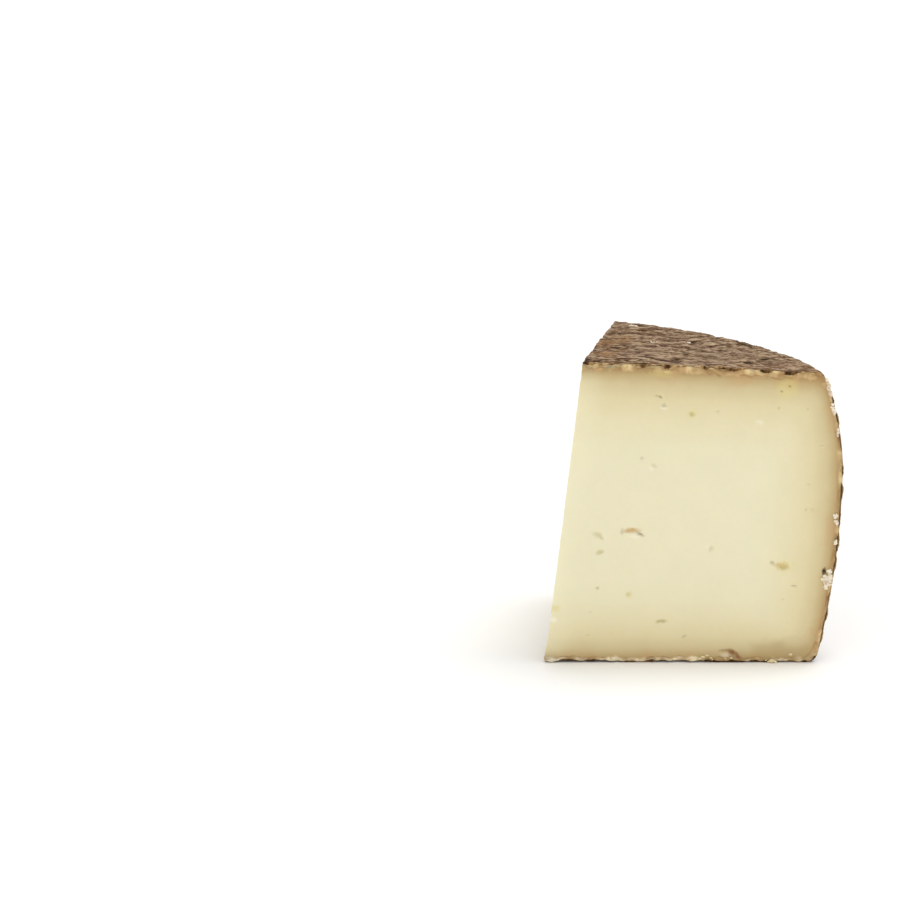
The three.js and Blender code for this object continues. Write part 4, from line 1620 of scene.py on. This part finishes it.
@dataclass
class Mould:
    """White mould on the rim's front edge, and a few flecks on the top, as clusters of grains."""

    wedge: Wedge
    row: Row
    noise: Noise
    placed: tuple[Lump, ...] = (
        Lump(90.7, 1.5, 96.6, 0.9, 0.9, 2.4),
        Lump(91.3, 1.45, 94.4, 1.3, 1.0, 3.4),
        Lump(91.9, 1.45, 92.3, 1.1, 0.9, 2.4),
        Lump(92.7, 1.45, 88.0, 0.9, 0.8, 2.6),
        Lump(93.1, 1.45, 86.2, 1.2, 0.9, 2.4),
        Lump(94.8, 1.55, 79.0, 0.9, 0.7, 3.0),
        Lump(94.4, 1.4, 50.4, 1.5, 1.0, 2.2),
        Lump(94.7, 1.4, 48.8, 1.3, 0.9, 2.2),
        Lump(94.5, 1.45, 41.4, 1.1, 0.8, 1.8),
        Lump(92.7, 1.4, 31.3, 1.9, 0.9, 2.2),
        Lump(93.1, 1.4, 29.6, 1.5, 0.9, 2.4),
        Lump(91.6, 1.35, 28.7, 3.0, 1.1, 3.0),
        Lump(92.3, 1.35, 27.6, 2.4, 1.0, 2.6),
        Lump(91.8, 1.35, 26.2, 1.5, 0.8, 2.2),
    )
    flecks: tuple[tuple[float, float, float], ...] = (
        (28.9, 75.0, 2.1),
        (30.4, 74.4, 1.3),
        (34.6, 41.3, 2.4),
        (36.4, 41.0, 1.6),
        (47.2, 44.1, 1.4),
    )
    grain: float = 0.62
    fineness: float = 0.3
    thinness: float = 0.8
    crowd: float = 1.0
    least: int = 2
    inward: float = 0.4
    sizes: Band = (0.7, 1.5)
    heights: Band = (0.8, 1.3)
    fleck_shape: Band = (1.3, 0.5)
    stray: int = 8
    stray_ends: Band = (6.0, 8.0)
    stray_turn: Band = (0.05, 1.3)
    stray_sunk: float = 0.2
    stray_size: Band = (0.9, 2.6)
    stray_shape: Band = (0.4, 0.7)
    seed: int = 5

    def grains(self, patch: Lump, draw: Draw) -> list[Lump]:
        """Grains at chance places in a patch, more of them in a larger one, and finer in a small one.

        Args:
            patch: The patch, as the box round an ellipsoid.
            draw: Chance.

        Returns:
            The grains.
        """
        size = (patch.length, patch.width, patch.height)
        area = size[0] * size[1] + size[1] * size[2] + size[2] * size[0]
        mean = min(self.grain, self.fineness * max(size), self.thinness * min(size))
        made = []
        for _ in range(self.least + int(self.crowd * area / mean**2)):
            turn, level = draw.between(0.0, 2.0 * math.pi), draw.between(-1.0, 1.0)
            reach = 0.5 * draw() ** self.inward
            flat = reach * math.sqrt(1.0 - level**2)
            away = (flat * math.cos(turn), flat * math.sin(turn), reach * level)
            x, y, z = (at + s * a for at, s, a in zip((patch.x, patch.y, patch.z), size, away))
            grain = mean * draw.between(*self.sizes)
            made.append(Lump(x, y, z, grain, grain, grain * draw.between(*self.heights)))
        return made

    def patches(self, draw: Draw) -> list[Lump]:
        """The placed patches, the flecks on the top and stray ones over the rim."""
        wheel = self.wedge.wheel
        made = list(self.placed)
        wide, high = self.fleck_shape
        for x, y, size in self.flecks:
            z = float(self.wedge.slope(x, wheel.top_height(wheel.mean_radius(x, y))))
            made.append(Lump(x, y, z, size, wide * size, high))
        low, below = self.stray_ends
        flat, wide = self.stray_shape
        for _ in range(self.stray):
            z = draw.between(low, wheel.height - below)
            turn = draw.between(*self.stray_turn)
            reach = float(wheel.side_radius(z) * wheel.share(turn)) - self.stray_sunk
            size = draw.between(*self.stray_size)
            x, y = reach * math.cos(turn), reach * math.sin(turn)
            made.append(Lump(x, y, z, flat * size, wide * size, size))
        return made

    def build(self) -> bpy.types.Object:
        """Makes the grains of all patches as one piece."""
        draw = Draw(self.seed)
        grains = [grain for patch in self.patches(draw) for grain in self.grains(patch, draw)]
        return Lumps(self.row, self.noise, "mould_tufts").build(grains)


@dataclass
class Crumbs:
    """Bits of paste left by the knife along the lower edges."""

    wedge: Wedge
    row: Row
    noise: Noise
    placed: tuple[Lump, ...] = (
        Lump(50.9, 1.4, 1.9, 1.5, 0.7, 0.9),
        Lump(52.2, 1.4, 2.5, 1.3, 0.6, 0.7),
        Lump(49.9, 1.4, 1.2, 1.1, 0.6, 0.8),
        Lump(53.6, 1.4, 1.5, 1.2, 0.6, 0.7),
        Lump(74.0, 1.0, 0.7, 2.0, 1.3, 1.3),
        Lump(75.2, 0.7, 0.45, 1.2, 1.0, 0.8),
        Lump(72.9, 0.9, 0.4, 0.9, 0.9, 0.7),
        Lump(80.2, 1.5, 2.8, 1.4, 0.5, 1.0),
    )
    stray: int = 12
    stray_size: Band = (0.35, 0.8)
    stray_ends: Band = (4.0, 8.0)
    stray_height: Band = (0.4, 2.0)
    stray_out: float = 0.1
    seed: int = 9

    def lumps(self) -> list[Lump]:
        """The placed crumbs, and stray ones along the foot of both cuts."""
        wedge = self.wedge
        draw = Draw(self.seed)
        made = list(self.placed)
        foot = float(wedge.wheel.side_radius(0.0))
        heading = wedge.back_heading()
        start, end = self.stray_ends
        for i in range(self.stray):
            size = draw.between(*self.stray_size)
            walk = draw.between(start, foot - end)
            z = draw.between(*self.stray_height)
            if i % 2:
                made.append(Lump(walk, wedge.front_y - self.stray_out, z, 1.3 * size, 0.7 * size, size))
                continue
            place = np.array([wedge.tip_x(z), wedge.front_y, z]) + walk * heading
            x, y, z = place + self.stray_out * wedge.back_outward()
            made.append(Lump(float(x), float(y), float(z), 0.8 * size, 1.2 * size, size))
        return made

    def build(self) -> bpy.types.Object:
        """Makes the crumbs as one piece."""
        return Lumps(self.row, self.noise, "crumbs").build(self.lumps())


# Finishes


def colour(display: Display) -> tuple[float, ...]:
    """Display values as the colour of a socket."""
    return (*linear(display), 1.0)


class Graph:
    """Adds nodes to a node tree and joins them."""

    def __init__(self, tree: bpy.types.NodeTree) -> None:
        """Keeps the tree.

        Args:
            tree: The node tree to build in.
        """
        self.tree = tree

    def add(self, kind: str, inputs: dict | None = None, **settings: object) -> bpy.types.Node:
        """Adds a node.

        Args:
            kind: Its type, without the leading ShaderNode.
            inputs: Values or sockets by input name or number.
            settings: Properties to set.

        Returns:
            The node.
        """
        node = self.tree.nodes.new("ShaderNode" + kind)
        for key, value in settings.items():
            setattr(node, key, value)
        for key, value in (inputs or {}).items():
            self.feed(node.inputs[key], value)
        return node

    def feed(self, socket: Socket, value: object) -> None:
        """Links a socket to another, or sets its value."""
        if isinstance(value, Socket):
            self.tree.links.new(value, socket)
        else:
            socket.default_value = value

    def math(self, operation: str, a: object, b: object = 0.0, clamp: bool = False) -> Socket:
        """Result of a Math node."""
        return self.add("Math", {0: a, 1: b}, operation=operation, use_clamp=clamp).outputs[0]

    def blend(self, share: object, a: object, b: object) -> Socket:
        """Colour that passes from a to b."""
        node = self.add("Mix", data_type="RGBA")
        for number, value in ((0, share), (6, a), (7, b)):
            self.feed(node.inputs[number], value)
        return node.outputs[2]

    def attribute(self, name: str, output: str = "Fac") -> Socket:
        """A vertex attribute of the piece."""
        return self.add("Attribute", attribute_name=name).outputs[output]

    def ramp(self, share: object, stops: dict[float, Display]) -> Socket:
        """Colours by position, straight between the stops, given as display values."""
        node = self.add("ValToRGB", {0: share})
        elements = node.color_ramp.elements
        while len(elements) < len(stops):
            elements.new(0.5)
        for element, (position, display) in zip(elements, sorted(stops.items())):
            element.position = position
            element.color = colour(display)
        return node.outputs[0]

    def band(self, value: object, low: float, high: float) -> Socket:
        """Smooth rise from 0 at low to 1 at high."""
        inputs = {"Value": value, "From Min": low, "From Max": high}
        return self.add("MapRange", inputs, interpolation_type="SMOOTHSTEP").outputs[0]

    def noise(self, vector: object, span: float, detail: float = 3.0) -> Socket:
        """Noise from 0 to 1 for a vector in metres and a span in millimetres."""
        node = self.add("TexNoise", {"Vector": vector, "Scale": 1000.0 / span, "Detail": detail})
        return node.outputs["Fac"]

    def place(self) -> Socket:
        """Object coordinates."""
        return self.add("TexCoord").outputs["Object"]

    def times(self, a: object, b: object) -> Socket:
        """Product of two values."""
        return self.math("MULTIPLY", a, b)


class Effect(Enum):
    """Node groups that several finishes use."""

    MOTTLE = "cheese_mottle"
    GRAIN = "cheese_grain"
    BLOOM = "cheese_bloom"

    def tree(self) -> bpy.types.NodeTree:
        """The group, which is made when it is first asked for."""
        made = bpy.data.node_groups.get(self.value)
        if made:
            return made
        tree = bpy.data.node_groups.new(self.value, "ShaderNodeTree")
        makers = {Effect.MOTTLE: make_mottle, Effect.GRAIN: make_grain, Effect.BLOOM: make_bloom}
        makers[self](tree)
        return tree

    def use(self, graph: Graph, inputs: dict[str, object]) -> Socket:
        """Places the group in a tree and returns its output."""
        node = graph.add("Group", node_tree=self.tree())
        for key, value in inputs.items():
            graph.feed(node.inputs[key], value)
        return node.outputs[0]


def open_group(
    tree: bpy.types.NodeTree, inputs: dict[str, str], output: tuple[str, str]
) -> tuple[Graph, bpy.types.Node, bpy.types.Node]:
    """Makes a group's sockets.

    Args:
        tree: The new group.
        inputs: Kinds of the inputs by name.
        output: Name and kind of the output.

    Returns:
        The graph, and the nodes that hold the inputs and the output.
    """
    kinds = {"value": "NodeSocketFloat", "colour": "NodeSocketColor", "vector": "NodeSocketVector"}
    for name, kind in inputs.items():
        tree.interface.new_socket(name, in_out="INPUT", socket_type=kinds[kind])
    tree.interface.new_socket(output[0], in_out="OUTPUT", socket_type=kinds[output[1]])
    return Graph(tree), tree.nodes.new("NodeGroupInput"), tree.nodes.new("NodeGroupOutput")


def two_noises(graph: Graph, given: bpy.types.Node, fineness: float, share: float) -> Socket:
    """A broad noise plus a share of a finer one, both made in a group.

    Args:
        graph: The group's graph.
        given: The node that holds its inputs, Vector and Scale among them.
        fineness: How many times finer the second noise is.
        share: Its share.

    Returns:
        The sum.
    """
    vector, scale = given.outputs["Vector"], given.outputs["Scale"]
    broad = graph.add("TexNoise", {"Vector": vector, "Scale": scale}).outputs["Fac"]
    finer = graph.times(scale, fineness)
    fine = graph.add("TexNoise", {"Vector": vector, "Scale": finer}).outputs["Fac"]
    return graph.math("ADD", broad, graph.times(fine, share))


def make_mottle(tree: bpy.types.NodeTree) -> None:
    """Colour made lighter and darker by noise of two spans: colour (1 + amount (noise - mean))."""
    kinds = {"Vector": "vector", "Colour": "colour", "Scale": "value", "Amount": "value"}
    graph, given, result = open_group(tree, kinds, ("Colour", "colour"))
    fineness, share = 5.3, 0.5
    mean = 0.5 * (1.0 + share)
    both = two_noises(graph, given, fineness, share)
    swing = graph.times(graph.math("SUBTRACT", both, mean), given.outputs["Amount"])
    inputs = {0: given.outputs["Colour"], 1: graph.math("ADD", swing, 1.0)}
    graph.feed(result.inputs[0], graph.add("VectorMath", inputs, operation="MULTIPLY").outputs[0])


def make_grain(tree: bpy.types.NodeTree) -> None:
    """Height for a bump: fine noise and scattered pinholes."""
    kinds = {"Vector": "vector", "Scale": "value", "Pinholes": "value"}
    hole = (0.28, 0.1)
    graph, given, result = open_group(tree, kinds, ("Height", "value"))
    inputs = {"Vector": given.outputs["Vector"], "Scale": given.outputs["Scale"]}
    fine = graph.add("TexNoise", {**inputs, "Detail": 5.0}).outputs["Fac"]
    cells = graph.add("TexVoronoi", inputs).outputs["Distance"]
    holes = graph.times(graph.band(cells, *hole), given.outputs["Pinholes"])
    graph.feed(result.inputs[0], graph.math("SUBTRACT", fine, holes))


def make_bloom(tree: bpy.types.NodeTree) -> None:
    """Mask of a dusty bloom: patches of noise, broken up by finer noise."""
    kinds = {"Vector": "vector", "Scale": "value", "Cover": "value"}
    graph, given, result = open_group(tree, kinds, ("Mask", "value"))
    fineness, share, most, contrast = 7.0, 0.6, 1.3, 2.5
    both = two_noises(graph, given, fineness, share)
    lowered = graph.math("SUBTRACT", both, graph.math("SUBTRACT", most, given.outputs["Cover"]))
    graph.feed(result.inputs[0], graph.math("MULTIPLY", lowered, contrast, clamp=True))


@dataclass(frozen=True)
class Grain:
    """Fine relief of a finish: scale and share of pinholes, and strength and depth of its bump."""

    scale: float
    pinholes: float
    strength: float
    depth: float

    def height(self, graph: Graph, where: Socket) -> Socket:
        """Height of the grain alone."""
        inputs = {"Vector": where, "Scale": self.scale, "Pinholes": self.pinholes}
        return Effect.GRAIN.use(graph, inputs)

    def bump(self, graph: Graph, shader: bpy.types.Node, height: Socket) -> None:
        """Bends the shader's normals by a height."""
        inputs = {"Height": height, "Strength": self.strength, "Distance": self.depth}
        graph.feed(shader.inputs["Normal"], graph.add("Bump", inputs).outputs[0])


@dataclass(frozen=True)
class Mottle:
    """Mottling of a finish's colour: its scale and amount."""

    scale: float
    amount: float

    def lay(self, graph: Graph, shader: bpy.types.Node, where: Socket, body: object) -> None:
        """Gives the shader a colour, mottled."""
        inputs = {"Vector": where, "Colour": body, "Scale": self.scale, "Amount": self.amount}
        graph.feed(shader.inputs["Base Color"], Effect.MOTTLE.use(graph, inputs))


def settle(shader: bpy.types.Node, values: dict[str, object]) -> None:
    """Sets the sockets that stay the same all over a piece."""
    for name, value in values.items():
        shader.inputs[name].default_value = value


def scattering(depth: float) -> dict[str, object]:
    """Sockets for light that scatters in fatty paste, red furthest, down to a depth in metres."""
    return {"Subsurface Weight": 0.3, "Subsurface Radius": (1.0, 0.72, 0.42), "Subsurface Scale": depth}


class Finish:
    """A material with one Principled shader."""

    name = "finish"

    def dress(self, graph: Graph, shader: bpy.types.Node) -> None:
        """Feeds the shader."""
        raise NotImplementedError

    def put_on(self, piece: bpy.types.Object) -> None:
        """Makes the material and gives it to the piece."""
        made = bpy.data.materials.new(self.name)
        made.use_nodes = True
        self.dress(Graph(made.node_tree), made.node_tree.nodes["Principled BSDF"])
        piece.data.materials.append(made)


@dataclass(frozen=True)
class PasteFinish(Finish):
    """Waxy pale paste that darkens and yellows towards the rind."""

    name: str = "paste"
    reach: float = 32.0
    wobble: float = 2.4
    lip: Display = (226, 200, 148)
    foot_lip: Display = (246, 229, 192)
    peach: Display = (206, 160, 112)
    # shade: painted shade in the cracks and among the crumbly lumps by the rind
    shade: Display = (172, 130, 82)
    # tip: painted glow of light shining through the thin tip edge, not a colour of the paste
    tip: Display = (246, 241, 206)
    ior: float = 1.45
    specular: float = 0.35
    roughness: float = 0.43
    roughness_swing: float = 0.14
    roughness_span: float = 3.0
    scatter: float = 0.0015
    dry_reach: float = 6.0
    wobble_span: float = 9.0
    wobble_detail: float = 4.0
    peach_span: float = 7.0
    peach_fade: Band = (7.0, 1.0)
    peach_spots: Band = (0.48, 0.7)
    peach_share: float = 0.42
    painted_glow_fade: Band = (0.28, 0.0)
    painted_glow_share: float = 0.35
    foot_rise: Band = (0.004, 0.002)
    lip_span: float = 0.8
    lip_swing: float = 0.9
    lip_least: float = 0.5
    shade_span: float = 1.5
    shade_spots: Band = (0.48, 0.62)
    shade_fade: Band = (2.2, 0.5)
    spot_share: float = 0.6
    shade_share: float = 0.8
    mottle: Mottle = Mottle(90.0, 0.05)
    grain: Grain = Grain(900.0, 0.5, 0.12, 0.0003)

    def stops(self) -> dict[float, Display]:
        """Colours by depth under the rind, in millimetres."""
        return {
            0.0: (168, 134, 84),
            1.5: (182, 153, 104),
            2.7: (197, 174, 126),
            5.3: (213, 197, 152),
            10.0: (227, 214, 172),
            16.0: (232, 222, 184),
            24.0: (235, 228, 194),
            32.0: (236, 229, 197),
        }

    def dress(self, graph: Graph, shader: bpy.types.Node) -> None:
        """Ramp by depth, then a painted glow of light through the thin tip edge, lips, painted shade in the
        cracks and among the crumbs by the rind, stains and mottling.
        """
        where = graph.place()
        depth = graph.attribute("depth")
        uneven = graph.math("SUBTRACT", graph.noise(where, self.wobble_span, self.wobble_detail), 0.5)
        fade = graph.band(depth, 0.0, self.dry_reach)
        shift = graph.times(graph.times(uneven, self.wobble), fade)
        share = graph.math("DIVIDE", graph.math("ADD", depth, shift), self.reach, clamp=True)
        body = graph.ramp(share, {mm / self.reach: display for mm, display in self.stops().items()})
        near = graph.band(depth, *self.peach_fade)
        spots = graph.band(graph.noise(where, self.peach_span), *self.peach_spots)
        peachy = graph.times(near, spots)
        body = graph.blend(graph.times(peachy, self.peach_share), body, colour(self.peach))
        # Painted glow: the paste is made paler near the thin tip edge, where light shines through it
        painted_glow = graph.times(graph.band(graph.attribute("from_tip"), *self.painted_glow_fade), self.painted_glow_share)
        body = graph.blend(graph.times(painted_glow, fade), body, colour(self.tip))
        height = graph.add("SeparateXYZ", {0: where}).outputs[2]
        lip = graph.blend(graph.band(height, *self.foot_rise), colour(self.lip), colour(self.foot_lip))
        crumbly = graph.times(graph.noise(where, self.lip_span), self.lip_swing)
        crumbly = graph.math("ADD", crumbly, self.lip_least, clamp=True)
        body = graph.blend(graph.times(graph.attribute("lip"), crumbly), body, lip)
        # Painted shade: dark spots among the crumbly lumps by the rind, and dark along the carved cracks
        spots = graph.band(graph.noise(where, self.shade_span), *self.shade_spots)
        torn = graph.times(graph.band(depth, *self.shade_fade), spots)
        torn = graph.math("MAXIMUM", graph.times(torn, self.spot_share), graph.attribute("crack"))
        body = graph.blend(graph.times(torn, self.shade_share), body, colour(self.shade))
        body = graph.blend(graph.attribute("stained"), body, graph.attribute("stain", "Color"))
        self.mottle.lay(graph, shader, where, body)
        rough = graph.times(graph.noise(where, self.roughness_span), self.roughness_swing)
        graph.feed(shader.inputs["Roughness"], graph.math("ADD", rough, self.roughness))
        self.grain.bump(graph, shader, self.grain.height(graph, where))
        settle(shader, scattering(self.scatter) | {"IOR": self.ior, "Specular IOR Level": self.specular})


@dataclass(frozen=True)
class RindFinish(Finish):
    """Dry fibrous rind: darker in its furrows as painted shade and paler on its crests as a painted
    highlight, dusty in patches, rusty where it is cut.
    """

    name: str = "rind"
    # crevice to pale: the rind's tone from painted shade in the furrows to a painted highlight on the
    # crests, over the fibres' own streaks; crevice also colours the soot
    crevice: Display = (42, 27, 14)
    furrow: Display = (80, 57, 37)
    body: Display = (113, 88, 65)
    crest: Display = (139, 113, 88)
    pale: Display = (184, 160, 132)
    mauve: Display = (136, 112, 102)
    olive: Display = (122, 104, 74)
    rust: Display = (152, 112, 70)
    stretch: tuple[float, float, float] = (0.42, 0.95, 0.42)
    crest_share: float = 0.38
    swing: float = 4.6
    mean: float = 0.44
    mauve_share: float = 0.3
    olive_share: float = 0.35
    rust_share: float = 0.65
    cut_rise: Band = (0.01, 0.09)
    soot_share: float = 0.8
    section_span: float = 1.1
    section_swing: float = 1.2
    streak_height: float = 1.2
    grain_height: float = 0.4
    roughness: float = 0.62
    roughness_swing: float = 0.2
    ior: float = 1.45
    specular: float = 0.06
    mottle: Mottle = Mottle(210.0, 0.5)
    grain: Grain = Grain(1400.0, 0.3, 0.6, 0.0006)

    def section(self) -> dict[float, Display]:
        """Colours of the cut rind by its share of dark."""
        return {
            0.0: (204, 176, 134),
            0.35: (174, 140, 96),
            0.65: (124, 90, 54),
            1.0: (62, 42, 26),
        }

    def dress(self, graph: Graph, shader: bpy.types.Node) -> None:
        """Ramp by relief and fibre noise, with painted shade in the furrows and a painted highlight on the
        crests, then bloom, rust and the cut edge.
        """
        where = graph.place()
        fibre = graph.attribute("fibre", "Vector")
        stretch = graph.add("Mapping", {"Vector": fibre, "Scale": self.stretch}).outputs[0]
        inputs = {"Vector": stretch, "Scale": 1.0, "Detail": 6.0, "Roughness": 0.7}
        streaks = graph.add("TexNoise", inputs).outputs["Fac"]
        # The ramp follows the relief height and the streaks that also bump the surface: painted shade low
        # down, painted highlight high up, partly the fibres' own streaky tone
        crest = graph.times(graph.attribute("crest"), self.crest_share)
        swing = graph.times(graph.math("SUBTRACT", streaks, 0.5), self.swing)
        level = graph.math("ADD", graph.math("ADD", crest, swing), self.mean, clamp=True)
        stops = {0.0: self.crevice, 0.25: self.furrow, 0.5: self.body, 0.75: self.crest, 1.0: self.pale}
        skin = graph.ramp(level, stops)
        bloom = Effect.BLOOM.use(graph, {"Vector": where, "Scale": 70.0, "Cover": 0.62})
        skin = graph.blend(graph.times(bloom, self.mauve_share), skin, colour(self.mauve))
        moss = Effect.BLOOM.use(graph, {"Vector": fibre, "Scale": 0.07, "Cover": 0.56})
        skin = graph.blend(graph.times(moss, self.olive_share), skin, colour(self.olive))
        rusty = graph.times(graph.attribute("rusty"), self.rust_share)
        skin = graph.blend(rusty, skin, colour(self.rust))
        dark = graph.attribute("dark")
        cut = graph.band(graph.attribute("cut"), *self.cut_rise)
        soot = graph.times(graph.math("SUBTRACT", self.soot_share, cut, clamp=True), dark)
        skin = graph.blend(soot, skin, colour(self.crevice))
        spots = graph.math("SUBTRACT", graph.noise(where, self.section_span), 0.5)
        spots = graph.times(spots, self.section_swing)
        section = graph.ramp(graph.math("ADD", dark, spots, clamp=True), self.section())
        skin = graph.blend(cut, skin, section)
        self.mottle.lay(graph, shader, where, skin)
        rough = graph.math("ADD", graph.times(level, self.roughness_swing), self.roughness)
        graph.feed(shader.inputs["Roughness"], rough)
        grain = self.grain.height(graph, where)
        coarse = graph.times(streaks, self.streak_height)
        height = graph.math("ADD", coarse, graph.times(grain, self.grain_height))
        self.grain.bump(graph, shader, height)
        settle(shader, {"IOR": self.ior, "Specular IOR Level": self.specular})


@dataclass(frozen=True)
class MouldFinish(Finish):
    """Soft white mould."""

    name: str = "mould"
    white: Display = (250, 242, 222)
    shade: Display = (222, 200, 174)
    grain: Grain = Grain(2200.0, 0.4, 0.5, 0.0002)

    def dress(self, graph: Graph, shader: bpy.types.Node) -> None:
        """White broken by beige."""
        where = graph.place()
        cover = Effect.BLOOM.use(graph, {"Vector": where, "Scale": 420.0, "Cover": 0.6})
        body = graph.blend(cover, colour(self.white), colour(self.shade))
        graph.feed(shader.inputs["Base Color"], body)
        self.grain.bump(graph, shader, self.grain.height(graph, where))
        settle(shader, {"Roughness": 0.9, "Specular IOR Level": 0.15})


@dataclass(frozen=True)
class CrumbFinish(Finish):
    """Crumbs of the paste, paler where they broke."""

    name: str = "crumb"
    pale: Display = (236, 219, 178)
    tan: Display = (208, 178, 130)
    span: float = 2.2
    spots: Band = (0.48, 0.66)
    scatter: float = 0.001
    mottle: Mottle = Mottle(500.0, 0.15)
    grain: Grain = Grain(1800.0, 0.4, 0.4, 0.0002)

    def dress(self, graph: Graph, shader: bpy.types.Node) -> None:
        """Pale with tan patches."""
        where = graph.place()
        share = graph.band(graph.noise(where, self.span), *self.spots)
        body = graph.blend(share, colour(self.pale), colour(self.tan))
        self.mottle.lay(graph, shader, where, body)
        self.grain.bump(graph, shader, self.grain.height(graph, where))
        settle(shader, scattering(self.scatter) | {"Roughness": 0.6, "Specular IOR Level": 0.3})


@dataclass(frozen=True)
class FloorFinish(Finish):
    """Plain pale studio floor."""

    name: str = "floor"
    pale: Display = (250, 249, 247)
    mottle: Mottle = Mottle(3.0, 0.01)

    def dress(self, graph: Graph, shader: bpy.types.Node) -> None:
        """Almost white, with a trace of mottling."""
        self.mottle.lay(graph, shader, graph.place(), colour(self.pale))
        settle(shader, {"Roughness": 0.95, "Specular IOR Level": 0.1})


# Studio


@dataclass
class Studio:
    """Floor, light and camera."""

    wedge: Wedge
    row: Row
    floor_half: float = 9.0
    floor_gap: float = 0.00003
    sky: float = 0.5
    key: float = 2.0
    key_turn: tuple[float, float] = (18.0, 55.0)
    key_spread: float = 44.0
    fill: float = 0.69
    fill_turn: tuple[float, float] = (70.0, 190.0)
    fill_spread: float = 60.0
    lens: float = 172.0
    sensor: float = 36.0
    sight: float = 50.0
    pitch: float = 12.75
    eye_x: float = -33.957
    eye_away: float = 1391.86
    eye_height: float = 388.0

    def floor(self) -> bpy.types.Object:
        """A flat floor, wide enough to fill every view."""
        half = self.floor_half
        corners = [(-half, -half), (half, -half), (half, half), (-half, half)]
        mesh = bpy.data.meshes.new("floor")
        mesh.from_pydata([(x, y, -self.floor_gap) for x, y in corners], [], [(0, 1, 2, 3)])
        made = bpy.data.objects.new("floor", mesh)
        bpy.context.scene.collection.objects.link(made)
        FloorFinish().put_on(made)
        return made

    def sun(self, name: str, strength: float, lean: float, turn: float, spread: float) -> None:
        """A far light.

        Args:
            name: Its name.
            strength: Light on a surface that faces it.
            lean: Degrees from straight above.
            turn: Degrees from behind the object, towards its right.
            spread: Angle that it covers, in degrees.
        """
        data = bpy.data.lights.new(name, "SUN")
        data.energy = strength
        data.angle = math.radians(spread)
        light = bpy.data.objects.new(name, data)
        light.rotation_euler = (math.radians(-lean), 0.0, math.radians(-turn))
        bpy.context.scene.collection.objects.link(light)

    def lights(self) -> None:
        """Even sky, a soft key from behind right and a weak fill from the front."""
        world = bpy.data.worlds.new("studio")
        world.use_nodes = True
        sky = world.node_tree.nodes["Background"]
        sky.inputs["Color"].default_value = (1.0, 1.0, 1.0, 1.0)
        sky.inputs["Strength"].default_value = self.sky
        bpy.context.scene.world = world
        self.sun("key", self.key, *self.key_turn, self.key_spread)
        self.sun("fill", self.fill, *self.fill_turn, self.fill_spread)

    def camera(self) -> None:
        """The photograph's view: a long lens, looking down on the front cut."""
        data = bpy.data.cameras.new("camera")
        data.lens = self.lens
        data.sensor_width = self.sensor
        data.clip_end = self.sight
        camera = bpy.data.objects.new("camera", data)
        away = np.array([self.eye_x, self.wedge.front_y - self.eye_away, self.eye_height])
        camera.location = self.row.metres(away)
        camera.rotation_euler = (math.radians(90.0 - self.pitch), 0.0, 0.0)
        bpy.context.scene.collection.objects.link(camera)
        bpy.context.scene.camera = camera

    def build(self) -> None:
        """Sets the floor, the light, the camera and the display."""
        self.floor()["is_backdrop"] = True
        self.lights()
        self.camera()
        bpy.context.scene.view_settings.view_transform = "Standard"


def declare(piece: bpy.types.Object, finish: Finish) -> None:
    """Finishes a piece, makes it ride on the wedge and stand for its solid, and reports it."""
    finish.put_on(piece)
    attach(piece, BODY)
    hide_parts(NODE)
    LOG.info("%s: %d triangles", piece.name, len(piece.data.polygons))


def main() -> None:
    """Builds the wedge and its studio."""
    logging.basicConfig(level=logging.INFO, format="%(name)s %(message)s")
    wedge = Wedge()
    row = Row(wedge, Noise(Seed.WEAR))
    crumble = Crumble(wedge, Noise(Seed.CRUMBLE))
    Studio(wedge, row).build()
    declare(Paste(wedge, row, crumble, Noise(Seed.PASTE)).build(), PasteFinish())
    for shell in Rind(wedge, row, crumble, Noise(Seed.RIND)).build():
        declare(shell, RindFinish())
    declare(Mould(wedge, row, Noise(Seed.MOULD)).build(), MouldFinish())
    declare(Crumbs(wedge, row, Noise(Seed.CRUMBS)).build(), CrumbFinish())

    bpy.context.view_layer.update()
    boxes = {"cad": CAD_BOX, "visual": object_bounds()}
    plain = {name: [list(corner) for corner in box] for name, box in boxes.items()}
    LOG.info("boxes: %s", plain)


if __name__ == "__main__":
    main()
